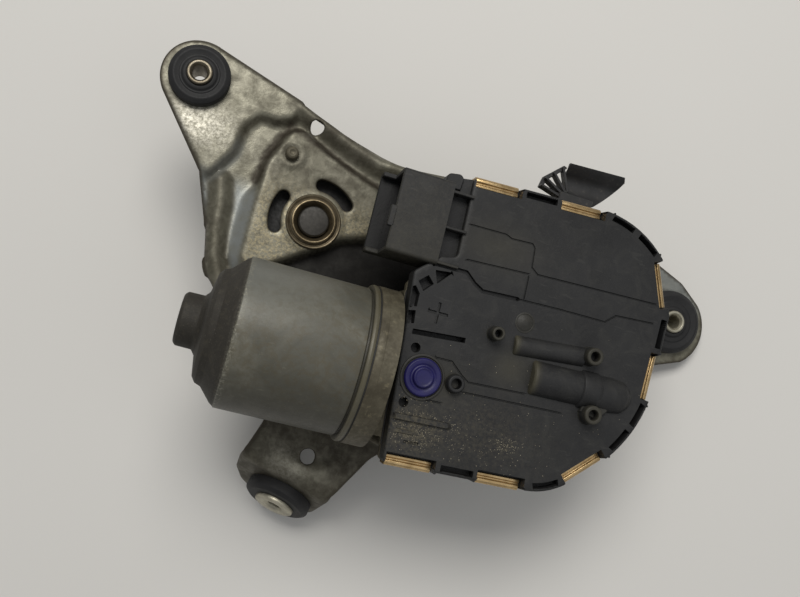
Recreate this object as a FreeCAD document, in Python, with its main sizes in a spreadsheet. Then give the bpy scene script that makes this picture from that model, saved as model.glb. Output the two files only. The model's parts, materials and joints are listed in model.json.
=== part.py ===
import FreeCAD, Part
import math
import os
import Sketcher
from FreeCAD import Placement, Rotation, Vector

# Wiper drive: a stamped bracket on three rubber mounts carries a worm-gear motor and a
# wiper spindle, which a crank, a link rod and a lever turn.
#
# Two frames are used, both in millimetres.
#   Drive frame: origin at the tip of the spindle, +Z up the spindle towards the cover,
#   +X along the motor's axis from its nose to the gears.  Every piece is drawn in it.
#   Row frame: the same origin, with the drive tipped as it lies on a flat surface, on
#   the spindle's tip and on two of its ears, so that +Z is the surface's normal.

DOC = FreeCAD.newDocument("WiperDrive")
SHEET = DOC.addObject("Spreadsheet::Sheet", "dim")

# name, value (mm, degrees or a count), what it is
SIZES = [
    ("lay_pitch", 11.406, "how far the drive tips towards +X when it lies down, degrees"),
    ("lay_roll", 1.9, "how far it tips about the motor's axis, degrees"),
    # stamped bracket
    ("plate_z", 46, "underside of the bracket's base plate"),
    ("plate_t", 2, "sheet thickness"),
    ("ear_rise", 4, "how far the upper ear stands above the base plate"),
    ("panel_rise", 6, "how far the spindle's panel stands above the base plate"),
    ("stud_x", -17, "rivet beside the spindle"),
    ("stud_y", 27.3, "rivet beside the spindle"),
    ("slot_r", 17.5, "radius of the middle of the two curved slots"),
    ("slot_w", 5.6, "width of the curved slots"),
    # rubber mounts
    ("upper_x", -64.8, "upper mount"),
    ("upper_y", 49.2, "upper mount"),
    ("side_x", 186, "side mount, beyond the gears"),
    ("side_y", 2, "side mount, beyond the gears"),
    ("lower_x", 19.8, "lower mount, on the bent-down ear"),
    ("lower_y", -122.4, "lower mount, on the bent-down ear"),
    ("lower_z", 27.8, "lower mount, on the bent-down ear"),
    ("small_head_r", 13.6, "rubber head of the upper mount"),
    ("large_head_r", 15.8, "rubber head of the other two mounts"),
    ("mount_hole_r", 8, "hole in the sheet that holds a rubber mount"),
    ("sleeve_r", 5.5, "outside of a spacer sleeve"),
    ("sleeve_bore_r", 3.3, "bolt hole of a spacer sleeve"),
    ("sleeve_flange_r", 9.5, "flange of a spacer sleeve"),
    # spindle and its bearings
    ("spindle_r", 7, "wiper spindle"),
    ("thread_r", 5, "threaded tip of the spindle"),
    ("spindle_top", 57, "inner end of the spindle"),
    ("spindle_bush_r", 8.5, "outside of the lower bush"),
    ("collar_bush_r", 9.5, "outside of the upper bush"),
    ("running_gap", 0.04, "radial clearance of a shaft in its bush"),
    ("tube_bottom", 20, "lower end of the spindle's bearing tube"),
    ("tube_top", 38, "upper end of the spindle's bearing tube"),
    ("tube_r", 12, "outside of the bearing tube"),
    ("post_r", 4.5, "posts that hold the bearing tube"),
    # linkage: a parallelogram, so that spindle and crank turn by the same angle
    ("output_x", 92, "axis of the gear's output shaft"),
    ("output_y", -26, "axis of the gear's output shaft"),
    ("arm_length", 36, "crank and lever, between centres"),
    ("arm_z", 40, "underside of crank and lever"),
    ("arm_t", 4.5, "thickness of crank and lever"),
    ("arm_rest", 135, "angle of crank and lever behind the line between axes, degrees"),
    ("ball_z", 31.5, "centres of the ball pins"),
    ("ball_r", 6.5, "ball pins"),
    ("socket_r", 10, "ball sockets"),
    ("crank_gap", 0.08, "clearance round the crank's ball"),
    ("lever_gap", 0.35, "clearance round the lever's ball, where the loop is open"),
    # gears
    ("output_r", 6, "output shaft"),
    ("output_bush_r", 9, "outside of the output shaft's bush"),
    ("gear_module", 1.2, "axial pitch of the worm is this times pi"),
    ("wheel_teeth", 44, "teeth of the worm wheel"),
    ("worm_pitch_r", 5.1, "pitch radius of the worm"),
    ("wheel_z", 82, "underside of the wheel's rim"),
    ("wheel_t", 8, "width of the wheel's rim"),
    # motor
    ("motor_y", -57.5, "motor axis"),
    ("motor_z", 86, "motor axis"),
    ("can_r", 31, "outside of the motor can"),
    ("can_wall", 2, "sheet thickness of the can"),
    ("shaft_r", 4, "armature shaft"),
    ("core_r", 24.5, "armature core"),
    # gear housing and cover
    ("housing_floor", 73, "underside of the gear housing's floor"),
    ("housing_top", 97, "joint face of the housing"),
    ("seal_t", 1, "cover seal"),
    ("flange_t", 3, "flanges that the clips hold together"),
    ("cover_top", 106, "flat top of the cover"),
    ("cover_wall", 2.5, "wall of the cover"),
    ("clip_length", 19, "spring clips round the cover"),
]


def fill_sheet():
    for row, (name, amount, note) in enumerate(SIZES, start=1):
        SHEET.set(f"A{row}", name)
        SHEET.set(f"B{row}", str(amount))
        SHEET.setAlias(f"B{row}", name)
        SHEET.set(f"C{row}", note)
    DOC.recompute()


fill_sheet()


def size(expression):
    """The value of an expression over the sheet's cells, such as "dim.can_r - 2"."""
    return float(SHEET.evalExpression(str(expression)))


def turned_by(axis, degrees):
    return Rotation(axis, degrees)


X_AXIS = Vector(1, 0, 0)
Y_AXIS = Vector(0, 1, 0)
Z_AXIS = Vector(0, 0, 1)
LAY = Placement(
    Vector(0, 0, 0),
    turned_by(Y_AXIS, size("dim.lay_pitch")).multiply(turned_by(X_AXIS, size("dim.lay_roll"))),
)
PIECES = []


# ---------------------------------------------------------------- building blocks


def new_body(name, place=None):
    """A body for one piece; place puts its own axes in the drive frame."""
    body = DOC.addObject("PartDesign::Body", name)
    body.Label = name
    PIECES.append((body, LAY.multiply(place) if place else LAY))
    return body


def sketch_on(body, plane="XY_Plane", height=0, offset=None):
    """A sketch on one of the body's own planes, height above it, or at a placement."""
    sketch = body.newObject("Sketcher::SketchObject", f"{body.Name}_sketch")
    support = next(f for f in body.Origin.OriginFeatures if f.Role == plane)
    sketch.AttachmentSupport = [(support, "")]
    sketch.MapMode = "FlatFace"
    if offset:
        sketch.AttachmentOffset = offset
    else:
        sketch.setExpression("AttachmentOffset.Base.z", str(height))
    return sketch


def add_circle(sketch, x, y, radius):
    centre = Vector(size(x), size(y), 0)
    item = sketch.addGeometry(Part.Circle(centre, Z_AXIS, size(radius)), False)
    hold = sketch.addConstraint(Sketcher.Constraint("Radius", item, size(radius)))
    sketch.setExpression(f"Constraints[{hold}]", str(radius))
    return sketch


def corner_arc(before, corner, after, radius):
    """The tangent arc that rounds a corner: its start, middle and end."""
    to_before = (before - corner).normalize()
    to_after = (after - corner).normalize()
    half = to_before.getAngle(to_after) / 2
    reach = radius / math.tan(half)
    bisector = (to_before + to_after).normalize()
    middle = corner + bisector * (radius / math.sin(half) - radius)
    return corner + to_before * reach, middle, corner + to_after * reach


def add_outline(sketch, corners):
    """A closed outline of straight sides; a corner is (x, y) or (x, y, rounding)."""
    points = [Vector(size(c[0]), size(c[1]), 0) for c in corners]
    rounding = [size(c[2]) if len(c) > 2 else 0 for c in corners]
    total = len(points)
    stops = []
    for i in range(total):
        if rounding[i]:
            stops.append(corner_arc(points[i - 1], points[i], points[(i + 1) % total], rounding[i]))
        else:
            stops.append((points[i], None, points[i]))
    edges = []
    for i in range(total):
        start, middle, end = stops[i]
        if middle:
            edges.append(Part.Arc(start, middle, end))
        following = stops[(i + 1) % total][0]
        edges.append(Part.LineSegment(end, following))
    sketch.addGeometry(edges, False)
    return sketch


def add_box(sketch, x_low, y_low, x_high, y_high, rounding=0):
    corners = [(x_low, y_low), (x_high, y_low), (x_high, y_high), (x_low, y_high)]
    return add_outline(sketch, [(*c, rounding) for c in corners])


def checked(feature):
    DOC.recompute()
    if "Invalid" in feature.State or "Error" in feature.State:
        raise RuntimeError(f"{feature.Label} failed: {feature.State}")
    return feature


def pad(body, sketch, length, backwards=False):
    feature = body.newObject("PartDesign::Pad", f"{body.Name}_pad")
    feature.Profile = sketch
    feature.setExpression("Length", str(length))
    feature.Reversed = backwards
    return checked(feature)


def cut(body, sketch, length, forwards=False):
    """A pocket: against the sketch's normal, or along it if forwards."""
    before = body.Shape.Volume
    feature = body.newObject("PartDesign::Pocket", f"{body.Name}_pocket")
    feature.Profile = sketch
    feature.setExpression("Length", str(length))
    feature.Reversed = forwards
    checked(feature)
    if body.Shape.Volume >= before - 1e-6:
        raise RuntimeError(f"{feature.Label} cuts nothing")
    return feature


def cut_along(body, sketch, length):
    return cut(body, sketch, length, forwards=True)


def turn(body, profile, height=0):
    """A piece of revolution about the body's Z axis from (radius, height) points."""
    sketch = sketch_on(body, "XZ_Plane")
    add_outline(sketch, [(r, f"({z}) + ({height})", *more) for r, z, *more in profile])
    feature = body.newObject("PartDesign::Revolution", f"{body.Name}_revolution")
    feature.Profile = sketch
    feature.ReferenceAxis = (sketch, ["V_Axis"])
    feature.Angle = 360
    return checked(feature)


def turned_piece(name, profile, place=None):
    body = new_body(name, place)
    turn(body, profile)
    return body


def around(body, feature, count):
    """Repeats a feature in a circle about the body's Z axis."""
    pattern = body.newObject("PartDesign::PolarPattern", f"{body.Name}_pattern")
    pattern.Originals = [feature]
    pattern.Axis = (feature.Profile[0], ["N_Axis"])
    pattern.Angle = 360
    pattern.Occurrences = int(size(count))
    body.Tip = pattern
    return checked(pattern)


def ring_profile(inner, outer, low, high):
    return [(inner, low), (outer, low), (outer, high), (inner, high)]


def at(x, y, z=0, degrees=0):
    """A place in the drive frame, turned about its own Z axis."""
    return Placement(Vector(size(x), size(y), size(z)), turned_by(Z_AXIS, size(degrees)))


def pointing(base, direction, along_x=X_AXIS):
    """A place at base whose Z axis is the direction and whose X axis leans to along_x."""
    z_axis = Vector(direction).normalize()
    y_axis = z_axis.cross(along_x).normalize()
    x_axis = y_axis.cross(z_axis)
    return Placement(base, Rotation(x_axis, y_axis, z_axis, "ZXY"))


# The motor's own axes: Z along the drive frame's +X, X downwards.
MOTOR = Placement(
    Vector(0, size("dim.motor_y"), size("dim.motor_z")),
    turned_by(Y_AXIS, 90),
)
# The lower ear leans outwards; its own Z axis points back under the bracket.
EAR_NORMAL = Vector(-0.283, -0.882, 0.379).normalize()
EAR_CENTRE = Vector(size("dim.lower_x"), size("dim.lower_y"), size("dim.lower_z"))
EAR_ALONG = Z_AXIS.cross(EAR_NORMAL).normalize()
LOWER_EAR = pointing(EAR_CENTRE, EAR_NORMAL * -1, EAR_ALONG)
LINE_ANGLE = math.degrees(math.atan2(size("dim.output_y"), size("dim.output_x")))
ARM_ANGLE = LINE_ANGLE - size("dim.arm_rest")
LINK_LENGTH = math.hypot(size("dim.output_x"), size("dim.output_y"))

BASE_OUTLINE = [
    (-77, 36, 3), (-56, 12, 20), (-45, -12, 20), (-40.5, -33, 12), (-8, -74, 12), (3.5, -87, 10),
    (-3.8, -106.6), (39, -120.3), (53, -98, 10), (66, -86, 20), (96, -80, 20), (150, -42, 20),
    (184, -21, 6), (189, 20, 6), (174, 30, 10), (158, 32, 10), (118, 24, 30), (62, 40, 20),
    (32, 38.5, 30), (4, 45, 30), (-14, 52, 40), (-56, 66, 4),
]
UPPER_EAR_OUTLINE = [
    (-77, 37, 3), (-57, 16, 8), (-36, 34, 12), (-33, 57, 6), (-56, 65.8, 3),
]
PANEL_OUTLINE = [
    (-19, 42, 7), (-28.3, 20, 12), (-29.5, -31, 5), (-12, -22, 8), (15, -3, 10), (28.5, 1, 5),
    (27.5, 22, 6), (0, 31, 14),
]
COVER_OUTLINE = [
    (45.5, -93, 2), (105.5, -91.3, 6), (122, -85.5, 4), (138, -71, 4), (151.5, -44, 5),
    (153, -6, 5), (144.5, 17, 6), (116, 30, 5), (55, 27.5, 3), (55.5, -7, 2), (49, -8.5, 2),
    (39.5, -17, 3),
]
FLANGE_OUTLINE = [
    (45.5, -93, 2), (105.5, -91.3, 6), (122, -85.5, 4), (138, -71, 4), (151.5, -44, 5),
    (153, -6, 5), (144.5, 17, 6), (116, 30, 5), (56, 27.5, 3), (56, -14, 2), (39.5, -20, 3),
]
WALL_OUTLINE = [
    (44.5, -88.5, 3), (104, -87, 6), (119.5, -81, 5), (133.5, -68, 5), (147, -43, 6),
    (148.5, -7, 6), (141, 13.5, 6), (114.5, 25.5, 6), (59, 23.5, 3), (59, -17, 3), (39.5, -24, 2),
]
INNER_OUTLINE = [
    (49.5, -85, 3), (103, -83.5, 5), (117.5, -78, 5), (130.5, -66, 5), (143.5, -42, 5),
    (145, -8, 5), (138, 11, 5), (113.5, 22, 5), (62.5, 20, 3), (62.5, -20.5, 3), (48, -27, 2),
]
CROWN_OUTLINE = [
    (47.5, -89, 2), (103.5, -87.5, 6), (119, -81.5, 5), (133.5, -68.5, 5), (147, -43, 6),
    (148.5, -7, 6), (141, 13.5, 6), (114.5, 25.5, 6), (57.5, 22.5, 3), (57.5, -9, 2),
    (52, -11, 2), (43, -20, 3),
]
BOARD_OUTLINE = [
    (51.5, -83, 2), (102.5, -81.5, 4), (116, -76.5, 4), (128.5, -65, 4), (141.5, -41.5, 4),
    (143, -8.5, 4), (136.5, 9, 4), (112.5, 20, 4), (68.5, 18, 2), (68.5, -21.5, 2), (50, -28.5, 2),
]
CLIP_TAB = (103, 24, 110, 36)
MOTOR_BOLTS = [(70, 8), (128, 2), (128, -60)]
STUDS = [("dim.stud_x", "dim.stud_y"), (35, 6), (-35.5, 2)]


# ---------------------------------------------------------------- bracket and mounts


def curved_slot(sketch, middle_degrees, half_degrees):
    """A slot with round ends that follows a circle about the spindle."""
    radius = size("dim.slot_r")
    half_width = size("dim.slot_w") / 2
    low = math.radians(middle_degrees - half_degrees)
    high = math.radians(middle_degrees + half_degrees)
    middle = math.radians(middle_degrees)

    def spot(angle, r):
        return Vector(r * math.cos(angle), r * math.sin(angle), 0)

    def end(angle, sign):
        tip = spot(angle, radius)
        tip = tip + Vector(-math.sin(angle), math.cos(angle), 0) * (sign * half_width)
        return Part.Arc(spot(angle, radius - half_width), tip, spot(angle, radius + half_width))

    arcs = [
        Part.Arc(*(spot(a, radius + half_width) for a in (low, middle, high))),
        end(high, 1),
        Part.Arc(*(spot(a, radius - half_width) for a in (low, middle, high))),
        end(low, -1),
    ]
    sketch.addGeometry(arcs, False)


def embossed(body, outline, inner, rise):
    """Raises an area of the sheet by rise, with the sheet's own thickness left."""
    pad(body, add_outline(sketch_on(body, height="dim.plate_z"), outline), f"dim.plate_t + {rise}")
    roof = f"dim.plate_z + {rise}"
    cut(body, add_outline(sketch_on(body, height=roof), inner), rise)


def inset(outline, centre, share):
    """The same outline, drawn closer to a centre, for the hollow side of an emboss."""
    return [
        (centre[0] + (x - centre[0]) * share, centre[1] + (y - centre[1]) * share, r * share)
        for x, y, r in outline
    ]


def bracket_plate():
    body = new_body("bracket_plate")
    pad(body, add_outline(sketch_on(body, height="dim.plate_z"), BASE_OUTLINE), "dim.plate_t")
    side = add_circle(sketch_on(body, height="dim.plate_z"), "dim.side_x + 0.2", "dim.side_y - 1", 20.6)
    pad(body, side, "dim.plate_t")
    # the upper ear: a round end on a raised area, hollow underneath
    ear = add_circle(sketch_on(body, height="dim.plate_z"), "dim.upper_x", "dim.upper_y", 17.2)
    pad(body, ear, "dim.plate_t + dim.ear_rise")
    embossed(body, UPPER_EAR_OUTLINE, inset(UPPER_EAR_OUTLINE, (-57, 42), 0.86), "dim.ear_rise")
    hollow = sketch_on(body, height="dim.plate_z + dim.ear_rise")
    cut(body, add_circle(hollow, "dim.upper_x", "dim.upper_y", 15.2), "dim.ear_rise + 1")
    # the spindle's panel, also hollow underneath
    embossed(body, PANEL_OUTLINE, inset(PANEL_OUTLINE, (-8, 7), 0.89), "dim.panel_rise")
    lower_ear(body)
    bracket_holes(body)


def lower_ear(body):
    """The ear that is bent down from the arm under the motor."""
    rise = (size("dim.plate_z + dim.plate_t") - EAR_CENTRE.z) / math.sqrt(1 - EAR_NORMAL.z ** 2)
    # in this sketch x runs along the bend and y up the ear, and the sheet is centred on it
    place = pointing(EAR_CENTRE, EAR_NORMAL, EAR_ALONG)
    place.move(EAR_NORMAL * (-size("dim.plate_t") / 2))
    outline = [
        (-26.6, rise, 0), (-24, -4, 12), (-16, -21, 14), (7, -21.5, 14), (19.5, -12, 14), (19, rise, 0),
    ]
    pad(body, add_outline(sketch_on(body, offset=place), outline), "dim.plate_t")
    hole = add_circle(sketch_on(body, offset=place), 0, 0, "dim.mount_hole_r")
    cut(body, hole, "dim.plate_t", forwards=True)


def bracket_holes(body):
    top = "dim.plate_z + dim.plate_t"
    side = sketch_on(body, height=top)
    add_circle(side, "dim.side_x", "dim.side_y", "dim.mount_hole_r")
    for x, y in MOTOR_BOLTS:
        add_circle(side, x, y, 3.2)
    add_circle(side, "dim.output_x", "dim.output_y", 14)
    add_circle(side, 25.2, -102.8, 3.4)
    add_circle(side, -9.1, 43.4, 3.2)
    for x, y in STUDS[1:]:
        add_circle(side, x, y, 3)
    cut(body, side, "dim.plate_t")
    ear = sketch_on(body, height=f"{top} + dim.ear_rise")
    cut(body, add_circle(ear, "dim.upper_x", "dim.upper_y", "dim.mount_hole_r"), 6)
    panel = sketch_on(body, height=f"{top} + dim.panel_rise")
    add_circle(panel, 0, 0, 11)
    add_circle(panel, "dim.stud_x", "dim.stud_y", 3)
    curved_slot(panel, 177.5, 24)
    curved_slot(panel, 66.5, 24)
    cut(body, panel, "dim.plate_t + dim.panel_rise")


def rubber_mount(name, head_r, place):
    """A grommet that buttons into the sheet, whose middle is at height 0."""
    half_sheet = "dim.plate_t / 2"
    profile = [
        ("dim.sleeve_r", -7), (f"{head_r} - 1.5", -7), (head_r, -5.5), (head_r, f"-{half_sheet}"),
        ("dim.mount_hole_r", f"-{half_sheet}"), ("dim.mount_hole_r", half_sheet),
        (head_r, half_sheet), (head_r, 5), (f"{head_r} - 1.5", 6.5),
        ("dim.sleeve_r + 4", 6.5), ("dim.sleeve_r + 3", 8), ("dim.sleeve_r", 8),
    ]
    turned_piece(f"{name}_grommet", profile, place)
    profile = [
        ("dim.sleeve_bore_r", -8.6), ("dim.sleeve_flange_r", -8.6), ("dim.sleeve_flange_r", -7),
        ("dim.sleeve_r", -7), ("dim.sleeve_r", 8.6), ("dim.sleeve_bore_r", 8.6),
    ]
    turned_piece(f"{name}_sleeve", profile, place)


def rubber_mounts():
    middle = "dim.plate_z + dim.plate_t / 2"
    upper = at("dim.upper_x", "dim.upper_y", f"{middle} + dim.ear_rise")
    rubber_mount("upper", "dim.small_head_r", upper)
    rubber_mount("side", "dim.large_head_r", at("dim.side_x", "dim.side_y", middle))
    rubber_mount("lower", "dim.large_head_r", LOWER_EAR)


# ---------------------------------------------------------------- spindle


def spindle_housing():
    body = new_body("spindle_housing")
    bottom = sketch_on(body, height="dim.tube_bottom")
    pad(body, add_circle(bottom, 0, 0, "dim.tube_r"), "dim.tube_top - dim.tube_bottom")
    arm_low = "dim.tube_top - 5"
    for x, y in STUDS:
        x, y = size(x), size(y)
        reach = math.hypot(x, y)
        along = Placement(Vector(0, 0, size(arm_low)), turned_by(Z_AXIS, math.degrees(math.atan2(y, x))))
        arm = sketch_on(body, offset=along)
        pad(body, add_box(arm, 8, -3.5, reach, 3.5), "dim.tube_top - 0.8 - (dim.tube_top - 5)")
        roof = "dim.plate_z + dim.panel_rise" if y > 20 else "dim.plate_z"
        post = add_circle(sketch_on(body, height=arm_low), x, y, "dim.post_r")
        pad(body, post, f"{roof} - ({arm_low})")
        hole = add_circle(sketch_on(body, height=roof), x, y, 2.4)
        cut(body, hole, 9)
    bore = add_circle(sketch_on(body, height="dim.tube_top"), 0, 0, "dim.spindle_bush_r")
    cut(body, bore, "dim.tube_top - dim.tube_bottom")


def housing_rivets():
    body = new_body("housing_rivets")
    for x, y in STUDS:
        raised = size(y) > 20
        roof = "dim.plate_z + dim.panel_rise" if raised else "dim.plate_z"
        shank = add_circle(sketch_on(body, height=f"{roof} - 8"), x, y, 2.4)
        pad(body, shank, 8)
        neck = add_circle(sketch_on(body, height=roof), x, y, 3)
        pad(body, neck, "dim.plate_t")
        head = add_circle(sketch_on(body, height=f"{roof} + dim.plate_t"), x, y, 3.1 if raised else 4.5)
        pad(body, head, 4 if raised else 1.2)


def spindle_pieces():
    roof = "dim.plate_z + dim.plate_t + dim.panel_rise"
    collar = [
        ("dim.collar_bush_r", f"{roof} - 5"), (11, f"{roof} - 5"), (11, roof), (12.6, roof),
        (12.6, f"{roof} + 1.4"), (12, f"{roof} + 2"), ("dim.collar_bush_r", f"{roof} + 2"),
    ]
    turned_piece("bearing_collar", collar)
    bore = "dim.spindle_r + dim.running_gap"
    turned_piece("upper_bush", ring_profile(bore, "dim.collar_bush_r", f"{roof} - 5", f"{roof} + 2"))
    lower = ring_profile(bore, "dim.spindle_bush_r", "dim.tube_bottom", "dim.tube_top")
    turned_piece("lower_bush", lower)
    groove_r = "dim.spindle_r - 0.8"
    spindle = [
        (0, 0), ("dim.thread_r", 0), ("dim.thread_r", 9.5),
        (5.4, 9.5), ("dim.spindle_r", 16), ("dim.spindle_r", 17), (groove_r, 17), (groove_r, 18.2),
        ("dim.spindle_r", 18.2), ("dim.spindle_r", "dim.spindle_top - 0.8"),
        ("dim.spindle_r - 0.8", "dim.spindle_top"), (0, "dim.spindle_top"),
    ]
    turned_piece("spindle", spindle)
    turned_piece("spindle_washer", ring_profile("dim.spindle_r + 0.2", 11, 18.4, 19.6))
    circlip = new_body("spindle_circlip")
    ring = add_circle(sketch_on(circlip, height=17.1), 0, 0, 9.6)
    pad(circlip, add_circle(ring, 0, 0, groove_r), 1)
    gap = add_box(sketch_on(circlip, height=18.1), 5, -2.5, 12, 2.5)
    cut(circlip, gap, 1)


# ---------------------------------------------------------------- linkage


def arm(name, hub_r, place):
    """A flat arm from its hub, at the origin, along X to the ball pin's hole."""
    body = new_body(name, place)
    pad(body, add_circle(sketch_on(body, height="dim.arm_z"), 0, 0, hub_r), "dim.arm_t")
    pad(body, add_circle(sketch_on(body, height="dim.arm_z"), "dim.arm_length", 0, 8), "dim.arm_t")
    sides = [
        (4, f"-({hub_r}) + 1.5"), ("dim.arm_length", -6.5),
        ("dim.arm_length", 6.5), (4, f"{hub_r} - 1.5"),
    ]
    pad(body, add_outline(sketch_on(body, height="dim.arm_z"), sides), "dim.arm_t")
    eye = add_circle(sketch_on(body, height="dim.arm_z + dim.arm_t"), "dim.arm_length", 0, 3.5)
    cut(body, eye, "dim.arm_t")
    return body


def ball_pin(name, place):
    """A ball on a riveted shank, hanging from the end of an arm."""
    body = new_body(name, place)
    x = "dim.arm_length"
    neck = add_circle(sketch_on(body, height="dim.ball_z"), x, 0, 4)
    pad(body, neck, "dim.arm_z - dim.ball_z")
    shank = add_circle(sketch_on(body, height="dim.arm_z"), x, 0, 3.5)
    pad(body, shank, "dim.arm_t")
    head = add_circle(sketch_on(body, height="dim.arm_z + dim.arm_t"), x, 0, 5)
    pad(body, head, 0.9)
    ball = body.newObject("PartDesign::AdditiveSphere", f"{name}_ball")
    ball.AttachmentSupport = [(body.Origin.OriginFeatures[3], "")]
    ball.MapMode = "FlatFace"
    ball.setExpression("Radius", "dim.ball_r")
    ball.setExpression("AttachmentOffset.Base.x", x)
    ball.setExpression("AttachmentOffset.Base.z", "dim.ball_z")
    checked(ball)


def ball_socket(name, distance, gap):
    """A plastic socket at a distance along the link, open upwards for the pin's neck."""
    body = new_body(name, LINK_PLACE)
    low = "dim.ball_z - dim.ball_r - 1.8"
    outside = add_circle(sketch_on(body, height=low), distance, 0, "dim.socket_r")
    pad(body, outside, "dim.ball_r + 1.8 + 4.6")
    mouth = add_circle(sketch_on(body, height="dim.ball_z + 4.6"), distance, 0, 5.3)
    cut(body, mouth, 4.6)
    hollow = body.newObject("PartDesign::SubtractiveSphere", f"{name}_hollow")
    hollow.AttachmentSupport = [(body.Origin.OriginFeatures[3], "")]
    hollow.MapMode = "FlatFace"
    hollow.setExpression("Radius", f"dim.ball_r + {gap}")
    hollow.setExpression("AttachmentOffset.Base.x", str(distance))
    hollow.setExpression("AttachmentOffset.Base.z", "dim.ball_z")
    checked(hollow)


def link_rod():
    body = new_body("link_rod", LINK_PLACE)
    waist = 5
    outline = [
        (4, -7), (22, f"-{waist}", 8), (LINK_LENGTH - 22, f"-{waist}", 8), (LINK_LENGTH - 4, -7),
        (LINK_LENGTH - 4, 7), (LINK_LENGTH - 22, waist, 8), (22, waist, 8), (4, 7),
    ]
    low = "dim.ball_z - 3"
    pad(body, add_outline(sketch_on(body, height=low), outline), 6)
    for distance in (0, LINK_LENGTH):
        end = add_circle(sketch_on(body, height="dim.ball_z + 3"), distance, 0, "dim.socket_r")
        cut(body, end, 6)


def linkage():
    spindle_place = at(0, 0, 0, ARM_ANGLE)
    output_place = at("dim.output_x", "dim.output_y", 0, ARM_ANGLE)
    lever = arm("spindle_lever", 11, spindle_place)
    bore = sketch_on(lever, height="dim.arm_z + dim.arm_t")
    cut(lever, add_circle(bore, 0, 0, "dim.spindle_r"), "dim.arm_t")
    ball_pin("lever_ball_pin", spindle_place)
    crank = arm("crank", 12, output_place)
    bore = sketch_on(crank, height="dim.arm_z + dim.arm_t")
    cut(crank, add_circle(bore, 0, 0, "dim.output_r"), "dim.arm_t")
    ball_pin("crank_ball_pin", output_place)
    ball_socket("lever_socket", 0, "dim.lever_gap")
    ball_socket("crank_socket", LINK_LENGTH, "dim.crank_gap")
    link_rod()


def link_place():
    """The link's own axes: from the lever's ball along X to the crank's ball."""
    angle = math.radians(ARM_ANGLE)
    reach = size("dim.arm_length")
    return Placement(
        Vector(reach * math.cos(angle), reach * math.sin(angle), 0),
        turned_by(Z_AXIS, LINE_ANGLE),
    )


LINK_PLACE = link_place()


# ---------------------------------------------------------------- gears


def hexagon(across_flats):
    corner = across_flats / math.sqrt(3)
    angles = [math.radians(60 * i) for i in range(6)]
    return [(corner * math.cos(a), corner * math.sin(a)) for a in angles]


def output_pieces():
    place = at("dim.output_x", "dim.output_y")
    end_r = "dim.output_r - 1.5"
    shaft = [
        (0, 29.5), (end_r, 29.5), (end_r, "dim.arm_z - 0.6"), ("dim.output_r", "dim.arm_z - 0.6"),
        ("dim.output_r", 91), (0, 91),
    ]
    turned_piece("output_shaft", shaft, place)
    nut = new_body("crank_nut", place)
    outline = add_outline(sketch_on(nut, height=31), hexagon(13))
    pad(nut, add_circle(outline, 0, 0, end_r), 8.4)
    low = "dim.arm_z + dim.arm_t"
    turned_piece("output_washer", ring_profile("dim.output_r + 0.2", 10.5, f"{low} + 0.2", 45.8), place)
    bore = "dim.output_r + dim.running_gap"
    bush = ring_profile(bore, "dim.output_bush_r", "dim.plate_z", "dim.housing_floor + 3")
    turned_piece("output_bush", bush, place)
    turned_piece("thrust_washer", ring_profile("dim.output_r + 0.2", 11, 76.1, 77.1), place)
    turned_piece("position_magnet", ring_profile(0, 5, 91, 92.6), place)


def worm_wheel():
    body = new_body("worm_wheel", at("dim.output_x", "dim.output_y"))
    pitch_r = "(dim.gear_module * dim.wheel_teeth / 2)"
    root_r = f"{pitch_r} - 1.25 * dim.gear_module"
    hub = [
        ("dim.output_r", 77.3), (10, 77.3), (10, "dim.wheel_z + 2"), (f"{root_r} - 4", "dim.wheel_z + 2"),
        (f"{root_r} - 4", "dim.wheel_z"), (root_r, "dim.wheel_z"), (root_r, "dim.wheel_z + dim.wheel_t"),
        (f"{root_r} - 4", "dim.wheel_z + dim.wheel_t"), (f"{root_r} - 4", "dim.wheel_z + 6"),
        (10, "dim.wheel_z + 6"), (10, "dim.wheel_z + dim.wheel_t"),
        ("dim.output_r", "dim.wheel_z + dim.wheel_t"),
    ]
    turn(body, hub)
    # one tooth, pointing at the worm, then the rest round the rim
    tip_r = size(f"{pitch_r} + 0.8 * dim.gear_module")
    base_r = size(root_r) - 0.3
    tooth = [(-0.85, -base_r), (0.85, -base_r), (0.4, -tip_r), (-0.4, -tip_r)]
    profile = add_outline(sketch_on(body, height="dim.wheel_z"), tooth)
    first = pad(body, profile, "dim.wheel_t")
    around(body, first, "dim.wheel_teeth")


def armature_shaft():
    """The shaft with the worm cut on it; the thread sits between two teeth."""
    body = new_body("armature_shaft", MOTOR)
    root_r = "dim.worm_pitch_r - 1.4"
    turn(body, [
        (0, -40), ("dim.shaft_r - 0.5", -40), ("dim.shaft_r", -39.5), ("dim.shaft_r", 70),
        (root_r, 72), (root_r, 114), (0, 114),
    ])
    pitch = size("dim.gear_module") * math.pi
    turns = 7
    # the thread passes the wheel's side half a pitch from the tooth that points at it
    start = size("dim.output_x") - pitch * turns / 2
    thread = sketch_on(body, "YZ_Plane")
    root = size(root_r) - 0.25
    crest = size("dim.worm_pitch_r") + 1.0
    outline = [(root, start - 0.85), (crest, start - 0.4), (crest, start + 0.4), (root, start + 0.85)]
    add_outline(thread, outline)
    helix = body.newObject("PartDesign::AdditiveHelix", "worm_thread")
    helix.Profile = thread
    helix.ReferenceAxis = (thread, ["V_Axis"])
    helix.Mode = 0
    helix.setExpression("Pitch", "dim.gear_module * pi")
    helix.Height = pitch * turns
    helix.Turns = turns
    checked(helix)


# ---------------------------------------------------------------- motor


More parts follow.
